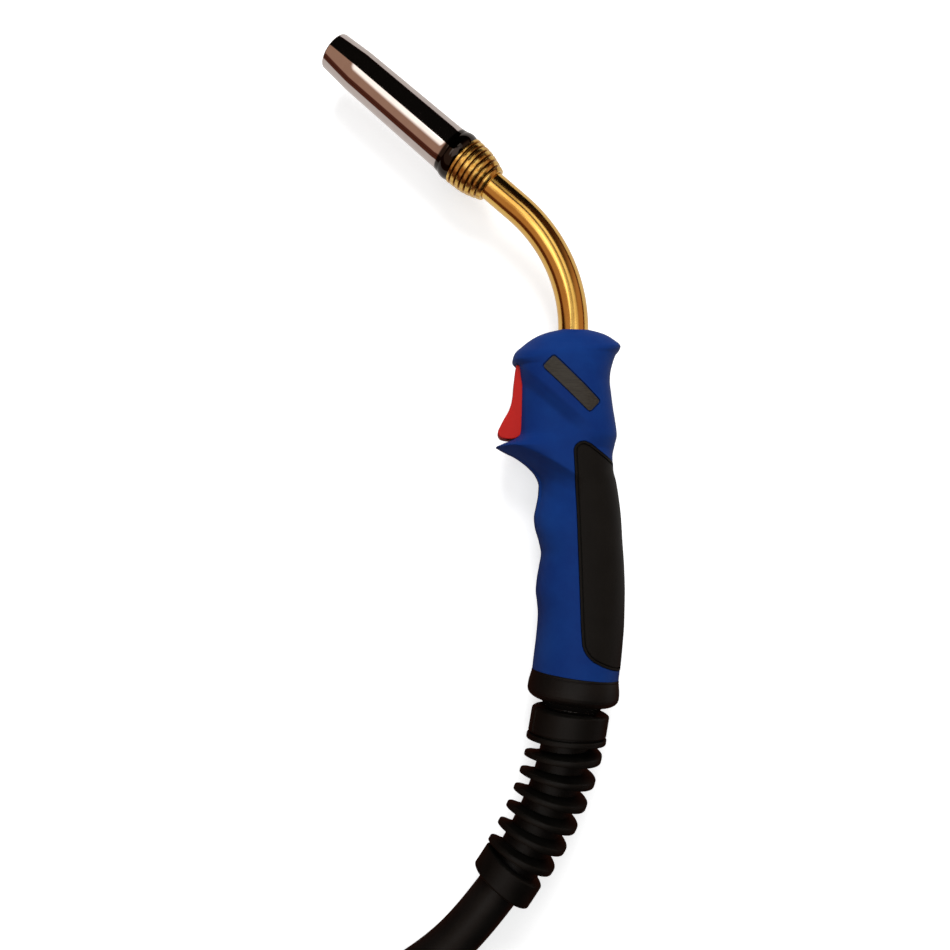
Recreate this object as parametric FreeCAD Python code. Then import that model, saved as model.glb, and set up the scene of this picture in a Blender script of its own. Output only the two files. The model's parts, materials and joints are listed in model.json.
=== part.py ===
import FreeCAD, Part
import math
import os

V = FreeCAD.Vector

# A MIG welding torch that lies on its side, with its lead.
# All sizes are in millimetres. The torch is drawn about its rear point: the middle of the gap
# between the collar ring and the rubber boot, on the middle plane on which the handle is parted.
# X runs from the trigger to the back of the handle, Y from the cable to the neck, Z up from the bench.
# The last step moves everything so that the torch's own box stands on Z = 0 about the origin.

# Handle, from the mouth where the neck comes out to the rear rim
mouth_y = 174.5
handle_wall = 3.0
rear_tilt = 6.0
rear_rim_along = 12.2
rear_rim_radius = 20.2
# Outline stations: y, front x, back x, half width, squareness of the section
handle_stations = [
    (mouth_y, -12.0, 7.0, 9.5, 2.0),
    (171.8, -20.0, 14.6, 12.4, 2.1),
    (168.6, -25.0, 19.0, 14.6, 2.2),
    (164.5, -29.0, 19.7, 16.2, 2.3),
    (159.5, -30.6, 17.2, 17.2, 2.4),
    (153.0, -28.4, 15.3, 17.8, 2.5),
    (144.0, -27.6, 15.5, 18.2, 2.5),
    (134.0, -27.0, 17.4, 18.2, 2.5),
    (125.0, -26.8, 18.7, 18.0, 2.5),
    (117.0, -26.6, 17.7, 17.6, 2.4),
    (110.0, -24.2, 17.2, 17.2, 2.4),
    (103.0, -18.9, 18.4, 17.0, 2.3),
    (95.0, -17.8, 19.9, 17.1, 2.3),
    (86.0, -19.4, 20.9, 17.4, 2.3),
    (77.0, -18.1, 21.7, 17.7, 2.3),
    (67.5, -15.9, 22.5, 17.9, 2.3),
    (58.0, -17.2, 23.1, 18.2, 2.3),
    (50.0, -17.9, 23.4, 18.5, 2.3),
    (40.0, -16.8, 23.2, 19.0, 2.2),
    (27.0, -17.6, 22.8, 19.7, 2.1),
]

# Spans of the smooth curve through each half section
section_spans = 8

# Finger guard under the trigger
guard_tip_x = -38.3
guard_tip_y = 117.6
guard_half_width = 9.0
guard_taper = 3.2

# Mouldings that hold the inner pieces in the handle
rib_thickness = 3.0
rib_places = (165.0, 146.0)
boss_radius = 3.6
screw_places = ((11.0, 158.0), (-22.2, 113.0), (-11.6, 57.0), (-11.2, 30.0))
screw_shank_radius = 1.6
screw_head_radius = 3.0
screw_head_height = 2.4
screw_seat_depth = 9.0
screw_length = 15.5
screw_clearance = 0.15

# Grip pads and name plates, let into the side faces
pad_thickness = 1.7
pad_edge_height = 4.6
inlay_gap = 0.12
plate_thickness = 0.8
plate_length = 31.5
plate_width = 7.1
plate_x = -2.9
plate_y = 149.2
plate_turn = -45.0
plate_corner_radius = 1.6

# Neck: an insulated tube with a bend, its tail held in the handle
neck_x = -2.5
neck_bend = 50.0
neck_bend_radius = 78.5
neck_front_length = 17.2
neck_tail_length = 52.0
neck_radius = 7.25
neck_jacket_wall = 0.95
neck_layer_gap = 0.05
core_tube_radius = 5.0
liner_radius = 1.9
liner_bore_radius = 0.9
liner_gap = 0.15

# Finned head on the neck
head_length = 18.5
head_front_radius = 12.5
head_rear_radius = 8.8
fin_count = 6
fin_groove_depth = 1.7
fin_groove_width = 1.3
head_spigot_length = 12.0
head_spigot_radius = 9.2
head_socket_depth = 4.0

# Pieces round the tip, all on the head's axis
nozzle_length = 84.0
nozzle_bore_radius = 8.0
nozzle_tip_radius = 9.6
nozzle_front_radius = 10.15
nozzle_front_cone = 14.5
nozzle_rear_radius = 11.05
nozzle_collar_radius = 12.6
nozzle_collar_length = 11.0
nozzle_wall = 1.4
nozzle_rear_gap = 0.3
nozzle_travel = 90.0
insulator_wall = 0.9
insulator_length = 9.5
spring_wire_radius = 0.7
spring_place = 6.0
holder_length = 58.0
holder_body_radius = 5.9
holder_thread_radius = 4.2
holder_thread_length = 16.0
holder_hex_across = 12.0
holder_hex_length = 10.0
diffuser_radius = 7.7
diffuser_length = 28.0
diffuser_start = 14.5
diffuser_holes = 8
diffuser_hole_radius = 0.9
tip_length = 30.0
tip_radius = 4.9
tip_nose_radius = 3.2
tip_thread_radius = 4.0
tip_thread_length = 6.5
tip_bore_radius = 0.6
tip_recess = 2.5

# Joint between neck and cable inside the handle
union_nut_across = 21.0
union_nut_length = 15.0
union_nut_overlap = 6.0
union_block_radius = 8.4
union_block_length = 14.0
crimp_radius = 7.6
crimp_length = 20.0
cable_core_radius = 5.8
fit_gap = 0.05

# Trigger, its pin and the switch behind it
trigger_half_width = 5.7
trigger_wall = 1.5
slot_half_width = 6.3
slot_depth_x = -14.5
pivot_x = -22.3
pivot_y = 151.5
pivot_radius = 1.5
pivot_half_length = 10.5
pivot_gap = 0.05
cheek_radius = 3.6
cheek_thickness = 4.0
trigger_angle = 5.5
switch_x = -20.0
switch_y = 139.6
switch_depth = 9.6
switch_height = 19.8
switch_half_width = 3.2
plunger_y = 133.0
plunger_radius = 1.1
plunger_reach = 2.6
plunger_length = 6.0
plunger_gap = 0.05
plunger_rear_gap = 0.26
switch_wire_radius = 0.9
switch_wire_pitch = 2.3

# Collar ring and ball joint
ring_radius = 21.3
ring_rear_radius = 17.2
ring_rear_along = -0.5
ring_thread_radius = 18.9
spigot_length = 9.0
spigot_bore_radius = 16.4
ball_radius = 16.0
ball_along = 6.0
ball_gap = 0.1
ball_front_flat = 14.0
ball_neck_radius = 11.9
ball_neck_end = 9.5
swivel_angle = 10.0

# Boot: a bent rubber sleeve with a spiral flange between two collars
boot_start_along = 4.2
boot_bend_radius = 166.0
boot_bend = 30.0
boot_collar_radius = 18.0
boot_collar_length = 10.3
boot_groove_length = 1.1
boot_groove_depth = 0.9
boot_rim_radius = 18.5
boot_rim_length = 2.8
boot_core_radius = 13.2
boot_end_radius = 15.3
boot_end_length = 11.5
flange_turns = 6.25
flange_pitch = 9.7
flange_first_right = 18.2
flange_half_thickness = 3.25
flange_first_radius = 17.7
flange_last_radius = 15.9

# Cable
cable_radius = 10.0
cable_gap = 0.25

# Coil of the length that is put away: two layers of turns
coil_outer_radius = 121.0
coil_turn_step = 21.4
coil_layer_step = 20.7
coil_centre_x = -57.8
coil_centre_y = -271.5
coil_entry_angle = 128.0
coil_whole_turns = 4

# Plug at the far end, along one axis
tail_length = 84.0
tail_end_run = 27.0
plug_axis_height = 23.0
plug_boot_length = 42.0
plug_boot_rear_radius = 12.6
plug_boot_front_radius = 15.6
plug_boot_grip = 10.0
housing_length = 60.0
housing_radius = 23.0
housing_rear_radius = 18.6
housing_wall = 2.6
housing_neck_radius = 16.8
housing_neck_length = 7.0
housing_screw_radius = 1.5
housing_screw_head_radius = 2.9
housing_screw_places = (20.0, 38.0)
housing_screw_offset = 13.0
plug_nut_radius = 22.4
plug_nut_bore_radius = 19.8
plug_nut_length = 31.0
plug_nut_ribs = 18
plug_nut_rib_depth = 0.8
plug_flange_radius = 18.9
plug_flange_thickness = 5.0
plug_nut_gap = 0.3
plug_body_radius = 11.0
current_pin_radius = 9.0
current_pin_length = 18.0
gas_tube_radius = 2.5
gas_tube_length = 20.0
gas_hex_across = 10.0
gas_hex_length = 3.5
seal_radius = 0.9
control_pin_radius = 1.7
control_pin_length = 11.0
control_pin_travel = 3.0
control_barrel_radius = 2.6
control_barrel_length = 11.0
control_barrel_bottom = 2.0
control_wire_room = 4.0
control_pin_circle = 14.2
control_pin_spread = 28.0
control_pin_gap = 0.06
control_pin_rear_gap = 0.3

FULL_TURN = 360.0


def direction(angle):
    """Unit vector in the middle plane at an angle from X, in degrees."""
    turn = math.radians(angle)
    return V(math.cos(turn), math.sin(turn), 0)


def outline(*steps):
    """Closed face in XY from points; a step of four numbers is an arc: end x, end y, through x, y."""
    edges = []
    here = V(steps[0][0], steps[0][1], 0)
    first = here
    for step in steps[1:]:
        there = V(step[0], step[1], 0)
        if len(step) == 4:
            edges.append(Part.Arc(here, V(step[2], step[3], 0), there).toShape())
        else:
            edges.append(Part.makeLine(here, there))
        here = there
    if here.distanceToPoint(first) > 1e-6:
        edges.append(Part.makeLine(here, first))
    return Part.Face(Part.Wire(edges))


def turned(*steps):
    """Solid turned about X from an outline of (along, radius) steps."""
    return outline(*steps).revolve(V(0, 0, 0), V(1, 0, 0), FULL_TURN)


def pipe(radius, start, end):
    """Straight round bar along X."""
    return Part.makeCylinder(radius, end - start, V(start, 0, 0), V(1, 0, 0))


def tube(radius, bore, start, end):
    """Straight round tube along X."""
    return pipe(radius, start, end).cut(pipe(bore, start - 1.0, end + 1.0))


def post(radius, start, end, y, z):
    """Straight round bar beside the axis, along X."""
    bar = pipe(radius, start, end)
    bar.translate(V(0, y, z))
    return bar


def hexagon(across, start, end):
    """Hexagonal bar along X, by its size across flats."""
    corner = across / math.sqrt(3.0)
    points = [V(0, *[corner * f(math.radians(60.0 * i)) for f in (math.cos, math.sin)]) for i in range(7)]
    bar = Part.Face(Part.makePolygon(points)).extrude(V(end - start, 0, 0))
    bar.translate(V(start, 0, 0))
    return bar


def lay(shape, place, angle):
    """Turns a shape drawn along X to an angle in the middle plane and moves it to its place."""
    moved = shape.copy()
    moved.rotate(V(0, 0, 0), V(0, 0, 1), angle)
    moved.translate(place)
    return moved


def swept(radius, path):
    """Round bar along a wire."""
    start = path.Edges[0]
    first = start.FirstParameter
    circle = Part.Circle(start.valueAt(first), start.tangentAt(first), radius).toShape()
    return path.makePipeShell([Part.Wire([circle])], True, False)


def arc_by_tangent(start, heading, end):
    """Arc from a point with a heading to an end point, as an edge."""
    chord = end - start
    half = chord.Length / 2.0
    cosine = heading.dot(chord) / chord.Length / heading.Length
    if cosine > 1.0 - 1e-12:
        return Part.makeLine(start, end)
    angle = math.acos(cosine)
    corner = start + heading * (half / cosine / heading.Length)
    middle = (start + end) * 0.5
    bulge = corner - middle
    through = middle + bulge * (half * math.tan(angle / 2.0) / bulge.Length)
    return Part.Arc(start, through, end).toShape()


def biarc(start, heading, end, end_heading):
    """Two arcs that join two points with their headings, as edges."""
    chord = end - start
    both = heading + end_heading
    opening = 2.0 * (1.0 - heading.dot(end_heading))
    if opening < 1e-9:
        reach = chord.dot(chord) / (4.0 * chord.dot(end_heading))
    else:
        along = chord.dot(both)
        reach = (math.sqrt(along * along + opening * chord.dot(chord)) - along) / opening
    joint = (start + end + (heading - end_heading) * reach) * 0.5
    first = arc_by_tangent(start, heading, joint)
    second = arc_by_tangent(end, end_heading * -1.0, joint)
    return [first, second]


def curve_wire(place_at, stations):
    """Wire of biarcs through the places and headings that a function gives at each station."""
    edges = []
    step = 1e-4
    points = [place_at(s) for s in stations]
    headings = []
    for s in stations:
        ahead = place_at(s + step) - place_at(s - step)
        headings.append(ahead * (1.0 / ahead.Length))
    for i in range(len(stations) - 1):
        edges.extend(biarc(points[i], headings[i], points[i + 1], headings[i + 1]))
    return Part.Wire(edges)


# Places that several pieces share
rear_up = direction(90.0 - rear_tilt)
ball_centre = rear_up * ball_along
rear_angle = 90.0 - rear_tilt
neck_angle = 90.0 + neck_bend
neck_forward = direction(neck_angle)
neck_tangent = neck_bend_radius * math.tan(math.radians(neck_bend / 2.0))
neck_corner = V(neck_x, mouth_y + neck_tangent, 0)
head_rear = neck_corner + neck_forward * (neck_tangent + neck_front_length)
head_front = head_rear + neck_forward * head_length
tail_end_y = mouth_y - neck_tail_length
insulation_radius = neck_radius - neck_jacket_wall - neck_layer_gap
insulation_bore = core_tube_radius + neck_layer_gap
liner_channel = liner_radius + liner_gap


def neck_path(tail_extra, front_extra):
    """Wire along the neck's middle, from its tail in the handle to the head."""
    tail = V(neck_x, tail_end_y - tail_extra, 0)
    bend_start = V(neck_x, mouth_y, 0)
    bend_end = neck_corner + neck_forward * neck_tangent
    centre = bend_start + V(-neck_bend_radius, 0, 0)
    middle = centre + direction(neck_bend / 2.0) * neck_bend_radius
    front = head_rear + neck_forward * front_extra
    edges = [Part.makeLine(tail, bend_start)]
    edges.append(Part.Arc(bend_start, middle, bend_end).toShape())
    edges.append(Part.makeLine(bend_end, front))
    return Part.Wire(edges)


def neck_layer(radius, bore, tail_extra, front_extra):
    """One tube of the neck."""
    whole = swept(radius, neck_path(tail_extra, front_extra))
    return whole.cut(swept(bore, neck_path(tail_extra + 1.0, front_extra + 1.0)))


def make_neck():
    """The neck's four tubes, one inside the next."""
    step = 2.0
    jacket = neck_layer(neck_radius, neck_radius - neck_jacket_wall, 0.0, head_socket_depth)
    insulation = neck_layer(insulation_radius, insulation_bore, step, head_socket_depth + step)
    core = neck_layer(core_tube_radius, liner_channel, 2.0 * step, head_socket_depth + 2.0 * step)
    liner_front = head_length + holder_length - tip_thread_length - 2.0
    liner_tail = union_nut_length - union_nut_overlap + union_block_length
    liner = neck_layer(liner_radius, liner_bore_radius, liner_tail, liner_front)
    return {"neck_jacket": jacket, "neck_insulation": insulation, "neck_core_tube": core,
            "wire_liner": liner}


def make_head():
    """Brass head with turned fins, and the spigot that carries nozzle and tip holder."""
    pitch = head_length / (fin_count + 0.5)
    body = turned((0, 0), (0, head_rear_radius), (head_length * 0.75, head_front_radius - 0.3,
                  head_length * 0.33, head_front_radius - 1.3), (head_length, head_front_radius),
                  (head_length, 0))
    for i in range(fin_count):
        start = pitch * (i + 0.7)
        share = min(1.0, (start + fin_groove_width) / (head_length * 0.55))
        floor = head_rear_radius - 0.6 + (head_front_radius - head_rear_radius) * share
        floor = min(floor, head_front_radius - fin_groove_depth)
        body = body.cut(tube(head_front_radius + 1.0, floor, start, start + fin_groove_width))
    spigot_end = head_length + head_spigot_length
    body = body.fuse(pipe(head_spigot_radius, head_length - 1.0, spigot_end))
    groove_place = head_length + spring_place
    groove = Part.makeTorus(head_spigot_radius, spring_wire_radius + fit_gap, V(groove_place, 0, 0),
                            V(1, 0, 0))
    body = body.cut(groove)
    depth = head_socket_depth
    body = body.cut(pipe(neck_radius + fit_gap, -1.0, depth))
    body = body.cut(pipe(insulation_radius + fit_gap, 0, depth + 2.0))
    body = body.cut(pipe(core_tube_radius + fit_gap, 0, depth + 4.0))
    body = body.cut(pipe(liner_channel, 0, spigot_end + 1.0))
    thread_start = spigot_end - holder_thread_length
    body = body.cut(pipe(holder_thread_radius + fit_gap, thread_start, spigot_end + 1.0))
    return {"neck_head": lay(body, head_rear, neck_angle)}


def nozzle_profile_inside(along):
    """Inner radius of the nozzle's body at a distance from its rear."""
    front = nozzle_length - nozzle_front_cone
    share = (along - nozzle_collar_length) / (front - nozzle_collar_length)
    outer = nozzle_rear_radius + (nozzle_front_radius - nozzle_rear_radius) * share
    return outer - nozzle_wall


def make_nozzle():
    """Gas nozzle with the insulating bush that is pressed in its rear, and the spring that holds it."""
    front = nozzle_length - nozzle_front_cone
    bush_bore = head_spigot_radius + spring_wire_radius + fit_gap
    bush_radius = bush_bore + insulator_wall
    rim = 0.9
    step = 0.5
    shoulder = nozzle_collar_length
    body = turned(
        (0, bush_radius), (0, nozzle_collar_radius - step), (rim, nozzle_collar_radius - step),
        (rim, nozzle_collar_radius), (shoulder - 2.4, nozzle_collar_radius),
        (shoulder + 0.6, nozzle_rear_radius, shoulder - 0.5, nozzle_rear_radius + 0.55),
        (front, nozzle_front_radius), (nozzle_length - 0.7, nozzle_tip_radius),
        (nozzle_length, nozzle_tip_radius - 0.7, nozzle_length - 0.2, nozzle_tip_radius - 0.2),
        (nozzle_length, nozzle_bore_radius), (front + 1.5, nozzle_bore_radius),
        (front, nozzle_profile_inside(front)),
        (insulator_length + 1.0, nozzle_profile_inside(insulator_length)),
        (insulator_length, bush_radius))
    bush = tube(bush_radius, bush_bore, 0.4, insulator_length - fit_gap)
    ring = Part.makeTorus(head_spigot_radius, spring_wire_radius, V(0, 0, 0), V(1, 0, 0))
    gap = turned((-1, 0.0), (-1, 20.0), (1, 20.0), (1, 0.0))
    opening = Part.makeBox(4.0, 3.0, 20.0, V(-2.0, -1.5, 0))
    ring = ring.common(gap).cut(opening)
    place = head_front + neck_forward * nozzle_rear_gap
    return {"gas_nozzle": lay(body, place, neck_angle),
            "nozzle_insulator": lay(bush, place, neck_angle),
            "nozzle_spring": lay(ring, head_front + neck_forward * spring_place, neck_angle)}


def make_tip_parts():
    """Tip holder, contact tip and the gas diffuser round them."""
    seat = head_spigot_length
    body_start = seat + fit_gap
    thread_start = seat - holder_thread_length + 0.2
    body = pipe(holder_thread_radius, thread_start, body_start + 0.5)
    body = body.fuse(pipe(holder_body_radius + 0.9, body_start, body_start + 2.0))
    body = body.fuse(pipe(holder_body_radius - 0.4, body_start, holder_length))
    body = body.fuse(hexagon(holder_hex_across, holder_length - holder_hex_length, holder_length))
    body = body.cut(pipe(liner_channel, thread_start - 1.0, holder_length + 1.0))
    tip_end = nozzle_length + nozzle_rear_gap - tip_recess
    tip_start = tip_end - tip_length
    body = body.cut(pipe(tip_thread_radius + fit_gap, tip_start - 0.2, holder_length + 1.0))
    nose = 7.0
    tip = turned((tip_start, tip_bore_radius), (tip_start, tip_thread_radius),
                 (holder_length + fit_gap, tip_thread_radius), (holder_length + fit_gap, tip_radius),
                 (tip_end - nose, tip_radius), (tip_end, tip_nose_radius), (tip_end, tip_bore_radius))
    flat = 0.7
    for side in (1, -1):
        flat_y = side * (2.0 + tip_radius - flat) - 2.0
        tip = tip.cut(Part.makeBox(6.0, 4.0, 20.0, V(holder_length + 6.0, flat_y, -10.0)))
    start = diffuser_start
    bore = holder_body_radius - 0.4 + fit_gap
    end = start + diffuser_length
    diffuser = turned((start, bore), (start, diffuser_radius - 0.6), (start + 3.0, diffuser_radius),
                      (end - 6.0, diffuser_radius), (end, diffuser_radius - 1.4), (end, bore))
    for i in range(diffuser_holes):
        hole = Part.makeCylinder(diffuser_hole_radius, 12.0, V(end - 10.0, 0, 0), V(0, 0, 1))
        hole.rotate(V(0, 0, 0), V(1, 0, 0), FULL_TURN * i / diffuser_holes)
        diffuser = diffuser.cut(hole)
    return {"tip_holder": lay(body, head_front, neck_angle),
            "contact_tip": lay(tip, head_front, neck_angle),
            "gas_diffuser": lay(diffuser, head_front, neck_angle)}


def make_union():
    """Nut, block and crimp that join the neck to the cable inside the handle, and the stripped cable."""
    nut_front = tail_end_y + union_nut_overlap
    nut_rear = nut_front - union_nut_length
    up = 90.0
    foot = V(neck_x, 0, 0)
    spigot = 5.0
    nut = hexagon(union_nut_across, nut_rear, nut_front)
    nut.rotate(V(0, 0, 0), V(1, 0, 0), 90.0)
    nut = nut.cut(pipe(neck_radius + fit_gap, nut_rear - 1.0, nut_front + 1.0))
    nut = nut.cut(pipe(union_block_radius - 1.0 + fit_gap, nut_rear - 1.0, nut_rear + spigot + fit_gap))
    block_rear = nut_rear - union_block_length
    block = pipe(union_block_radius, block_rear, nut_rear - fit_gap)
    block = block.fuse(pipe(union_block_radius - 1.0, nut_rear - 1.0, nut_rear + spigot))
    core_end = tail_end_y - 4.0
    block = block.cut(pipe(core_tube_radius + fit_gap, core_end - fit_gap, nut_front))
    block = block.cut(pipe(liner_channel, block_rear - 1.0, nut_front))
    crimp_front = block_rear - fit_gap
    crimp_rear = crimp_front - crimp_length
    crimp = tube(crimp_radius, cable_core_radius + fit_gap, crimp_rear, crimp_front)
    for share in (0.3, 0.65):
        waist = crimp_rear + crimp_length * share
        crimp = crimp.cut(tube(crimp_radius + 1.0, crimp_radius - 0.5, waist, waist + 1.6))
    core_front = V(neck_x, crimp_front - 0.2, 0)
    core_mid = V(neck_x, crimp_rear - 2.0, 0)
    core_rear = ball_centre + rear_up * (ball_front_flat + 2.6)
    edges = [Part.makeLine(core_front, core_mid)]
    edges += biarc(core_mid, V(0, -1, 0), core_rear, rear_up * -1.0)
    core = swept(cable_core_radius, Part.Wire(edges))
    return {"union_nut": lay(nut, foot, up), "union_block": lay(block, foot, up),
            "crimp_sleeve": lay(crimp, foot, up), "cable_core": core}


def half_section(station, inset, drop):
    """Wire of one half section of the handle, set in by an amount and closed at or below Z = 0."""
    middle, across, half_depth, half_width, squareness = station
    depth = half_depth - inset
    width = half_width - inset
    points = []
    for i in range(section_spans + 1):
        turn = math.pi * (1.0 - i / section_spans)
        cosine = math.cos(turn)
        sine = max(0.0, math.sin(turn))
        x = math.copysign(abs(cosine) ** (2.0 / squareness), cosine)
        z = sine ** (2.0 / squareness)
        points.append(middle + across * (depth * x) + V(0, 0, width * z))
    curve = Part.BSplineCurve()
    curve.interpolate(Points=points, InitialTangent=V(0, 0, 1), FinalTangent=V(0, 0, -1))
    left, right = points[0], points[-1]
    if drop == 0.0:
        return Part.Wire([curve.toShape(), Part.makeLine(right, left)])
    low = V(0, 0, -drop)
    lines = [Part.makeLine(right, right + low), Part.makeLine(right + low, left + low),
             Part.makeLine(left + low, left)]
    return Part.Wire([curve.toShape()] + lines)


def handle_half(inset, drop=0.0):
    """Upper half of the handle's outer form, set in all round by an amount."""
    wires = []
    for y, front, back, half_width, squareness in handle_stations:
        middle = V((front + back) / 2.0, y, 0)
        section = (middle, V(1, 0, 0), (back - front) / 2.0, half_width, squareness)
        wires.append(half_section(section, inset, drop))
    rim = (rear_up * rear_rim_along, direction(-rear_tilt), rear_rim_radius, rear_rim_radius, 2.0)
    wires.append(half_section(rim, inset, drop))
    return Part.makeLoft(wires, True, False, False)


def slab(low_y, high_y):
    """Block that is wider than the handle, between two heights."""
    return Part.makeBox(120.0, high_y - low_y, 30.0, V(-60.0, low_y, 0))


def guard_half():
    """Upper half of the finger guard, thinner towards its tip."""
    tip = V(guard_tip_x, guard_tip_y, 0)
    wires = []
    for height, back_off in ((0.0, 0.0), (guard_half_width, guard_taper)):
        tip_here = tip + V(back_off, -back_off * 0.25, height)
        root_low = V(-21.0, 106.5 + back_off * 0.3, height)
        root_high = V(-20.0, 121.9 - back_off * 0.2, height)
        low_mid = V(-30.0 + back_off * 0.6, 113.3 + back_off * 0.2, height)
        high_mid = V(-30.5 + back_off * 0.6, 121.0 - back_off * 0.2, height)
        nose = tip_here + V(0.1, 0.9, 0)
        edges = [Part.makeLine(root_high, root_low), Part.Arc(root_low, low_mid, tip_here).toShape(),
                 Part.makeLine(tip_here, nose), Part.Arc(nose, high_mid, root_high).toShape()]
        wires.append(Part.Wire(edges))
    return Part.makeLoft(wires, True, True, False)


def pad_outline(gap):
    """Outline of a grip pad seen from the side, with a gap all round."""
    face = outline((-0.9, 116.0), (3.3, 121.4, -0.3, 120.2), (18.6, 111.2, 11.4, 117.4), (30.0, 106.0),
                   (30.0, 13.0), (20.5, 14.0), (8.1, 19.4, 13.6, 16.0), (3.8, 28.0, 5.0, 23.0))
    if gap > 0.0:
        face = Part.Face(Part.Wire(face.OuterWire.makeOffset2D(gap).Edges))
    return face


def plate_outline(gap):
    """Outline of a name plate: a rounded rectangle, turned to lie along the head's slope."""
    half_length = plate_length / 2.0 + gap
    half_width = plate_width / 2.0 + gap
    corner = plate_corner_radius
    edge = 1.0 - math.sqrt(0.5)
    face = outline(
        (-half_length + corner, -half_width), (half_length - corner, -half_width),
        (half_length, -half_width + corner, half_length - corner * edge, -half_width + corner * edge),
        (half_length, half_width - corner),
        (half_length - corner, half_width, half_length - corner * edge, half_width - corner * edge),
        (-half_length + corner, half_width),
        (-half_length, half_width - corner, -half_length + corner * edge, half_width - corner * edge),
        (-half_length, -half_width + corner),
        (-half_length + corner, -half_width, -half_length + corner * edge, -half_width + corner * edge))
    return lay(face, V(plate_x, plate_y, 0), plate_turn)


def inlay(face, edge_height, outer, inner):
    """Layer of the handle's skin inside an outline, above a height."""
    prism = face.extrude(V(0, 0, 30.0))
    prism.translate(V(0, 0, edge_height))
    return prism.common(outer).cut(inner)


def upright(radius, x, y, low, high):
    """Round bar that stands on the middle plane's normal."""
    return Part.makeCylinder(radius, high - low, V(x, y, low), V(0, 0, 1))


def handle_ribs(cavity):
    """Ribs, screw bosses and the trigger pin's cheek, cut to the inside of the upper shell."""
    added = []
    for y in rib_places:
        added.append(slab(y - rib_thickness / 2.0, y + rib_thickness / 2.0))
    for x, y in screw_places:
        added.append(upright(boss_radius, x, y, 0, 25.0))
    added.append(upright(cheek_radius, pivot_x, pivot_y, slot_half_width, slot_half_width + cheek_thickness))
    return [cavity.common(piece) for piece in added]


def handle_openings():
    """What is cut out of the upper shell for the neck, ball, trigger, its pin and the switch."""
    ball_room = Part.makeSphere(ball_radius + 0.5, ball_centre)
    neck_hole = Part.makeCylinder(neck_radius + fit_gap, 80.0, V(neck_x, 120.0, 0), V(0, 1, 0))
    slot = Part.makeBox(60.0, 36.0, slot_half_width, V(slot_depth_x - 60.0, 121.2, 0))
    sweep = outline((slot_depth_x, 119.4), (slot_depth_x, 122.0), (-34.5, 122.0), (-34.5, 119.6),
                    (-28.0, 119.6)).extrude(V(0, 0, slot_half_width))
    pin_hole = upright(pivot_radius + fit_gap, pivot_x, pivot_y, 0, pivot_half_length + 0.1)
    low = switch_y - switch_height / 2.0 - fit_gap
    switch_room = Part.makeBox(switch_depth + fit_gap, switch_height + 2.0 * fit_gap,
                               switch_half_width + fit_gap, V(switch_x, low, 0))
    return [ball_room, neck_hole, slot, sweep, pin_hole, switch_room]


def make_screws():
    """The shell screws, driven from the far side."""
    screws = []
    head_top = -screw_seat_depth - screw_head_height - fit_gap
    for x, y in screw_places:
        shank = upright(screw_shank_radius, x, y, head_top + 1.0, screw_length - screw_seat_depth)
        head = upright(screw_head_radius, x, y, head_top, -screw_seat_depth - fit_gap)
        drive = upright(1.1, x, y, head_top - 1.0, head_top + 1.2)
        screws.append(shank.fuse(head).cut(drive))
    return Part.makeCompound(screws)


def make_handle():
    """Both handle shells with their inner ribs, and the pads and plates let into them."""
    outer = handle_half(0.0)
    cavity = handle_half(handle_wall, 1.0)
    cavity = cavity.cut(Part.makeBox(120.0, 20.0, 60.0, V(-60.0, mouth_y - 3.5, -30.0)))
    spigot = lay(tube(ring_thread_radius - 0.1, spigot_bore_radius, rear_rim_along - spigot_length,
                      rear_rim_along + 2.0), V(0, 0, 0), rear_angle)
    upper = Part.makeBox(120.0, 60.0, 30.0, V(-60.0, -20.0, 0))
    upper_room = cavity.common(Part.makeBox(120.0, 200.0, 30.0, V(-60.0, 0, 0)))
    added = handle_ribs(upper_room) + [guard_half(), spigot.common(upper)]
    pad = inlay(pad_outline(0.0), pad_edge_height, outer, handle_half(pad_thickness))
    seat = inlay(pad_outline(inlay_gap), pad_edge_height - inlay_gap, outer, handle_half(pad_thickness + 0.1))
    plate = inlay(plate_outline(0.0), 2.0, outer, handle_half(plate_thickness))
    recess = inlay(plate_outline(inlay_gap), 2.0, outer, handle_half(plate_thickness + fit_gap))
    shell = outer.cut(cavity).fuse(added)
    shell = shell.cut(handle_openings() + [seat, recess])
    pilots = []
    seats = []
    tip_z = screw_length - screw_seat_depth
    for x, y in screw_places:
        pilots.append(upright(screw_shank_radius + fit_gap, x, y, -1.0, tip_z + 0.5))
        seats.append(upright(screw_shank_radius + screw_clearance, x, y, -screw_seat_depth - 1.0, 1.0))
        seats.append(upright(screw_head_radius + screw_clearance, x, y, -40.0, -screw_seat_depth))
    middle = (V(0, 0, 0), V(0, 0, 1))
    return {"handle_shell_near": shell.cut(pilots), "handle_shell_far": shell.mirror(*middle).cut(seats),
            "grip_pad_near": pad, "grip_pad_far": pad.mirror(*middle), "name_plate_near": plate,
            "name_plate_far": plate.mirror(*middle), "handle_screws": make_screws()}


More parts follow.
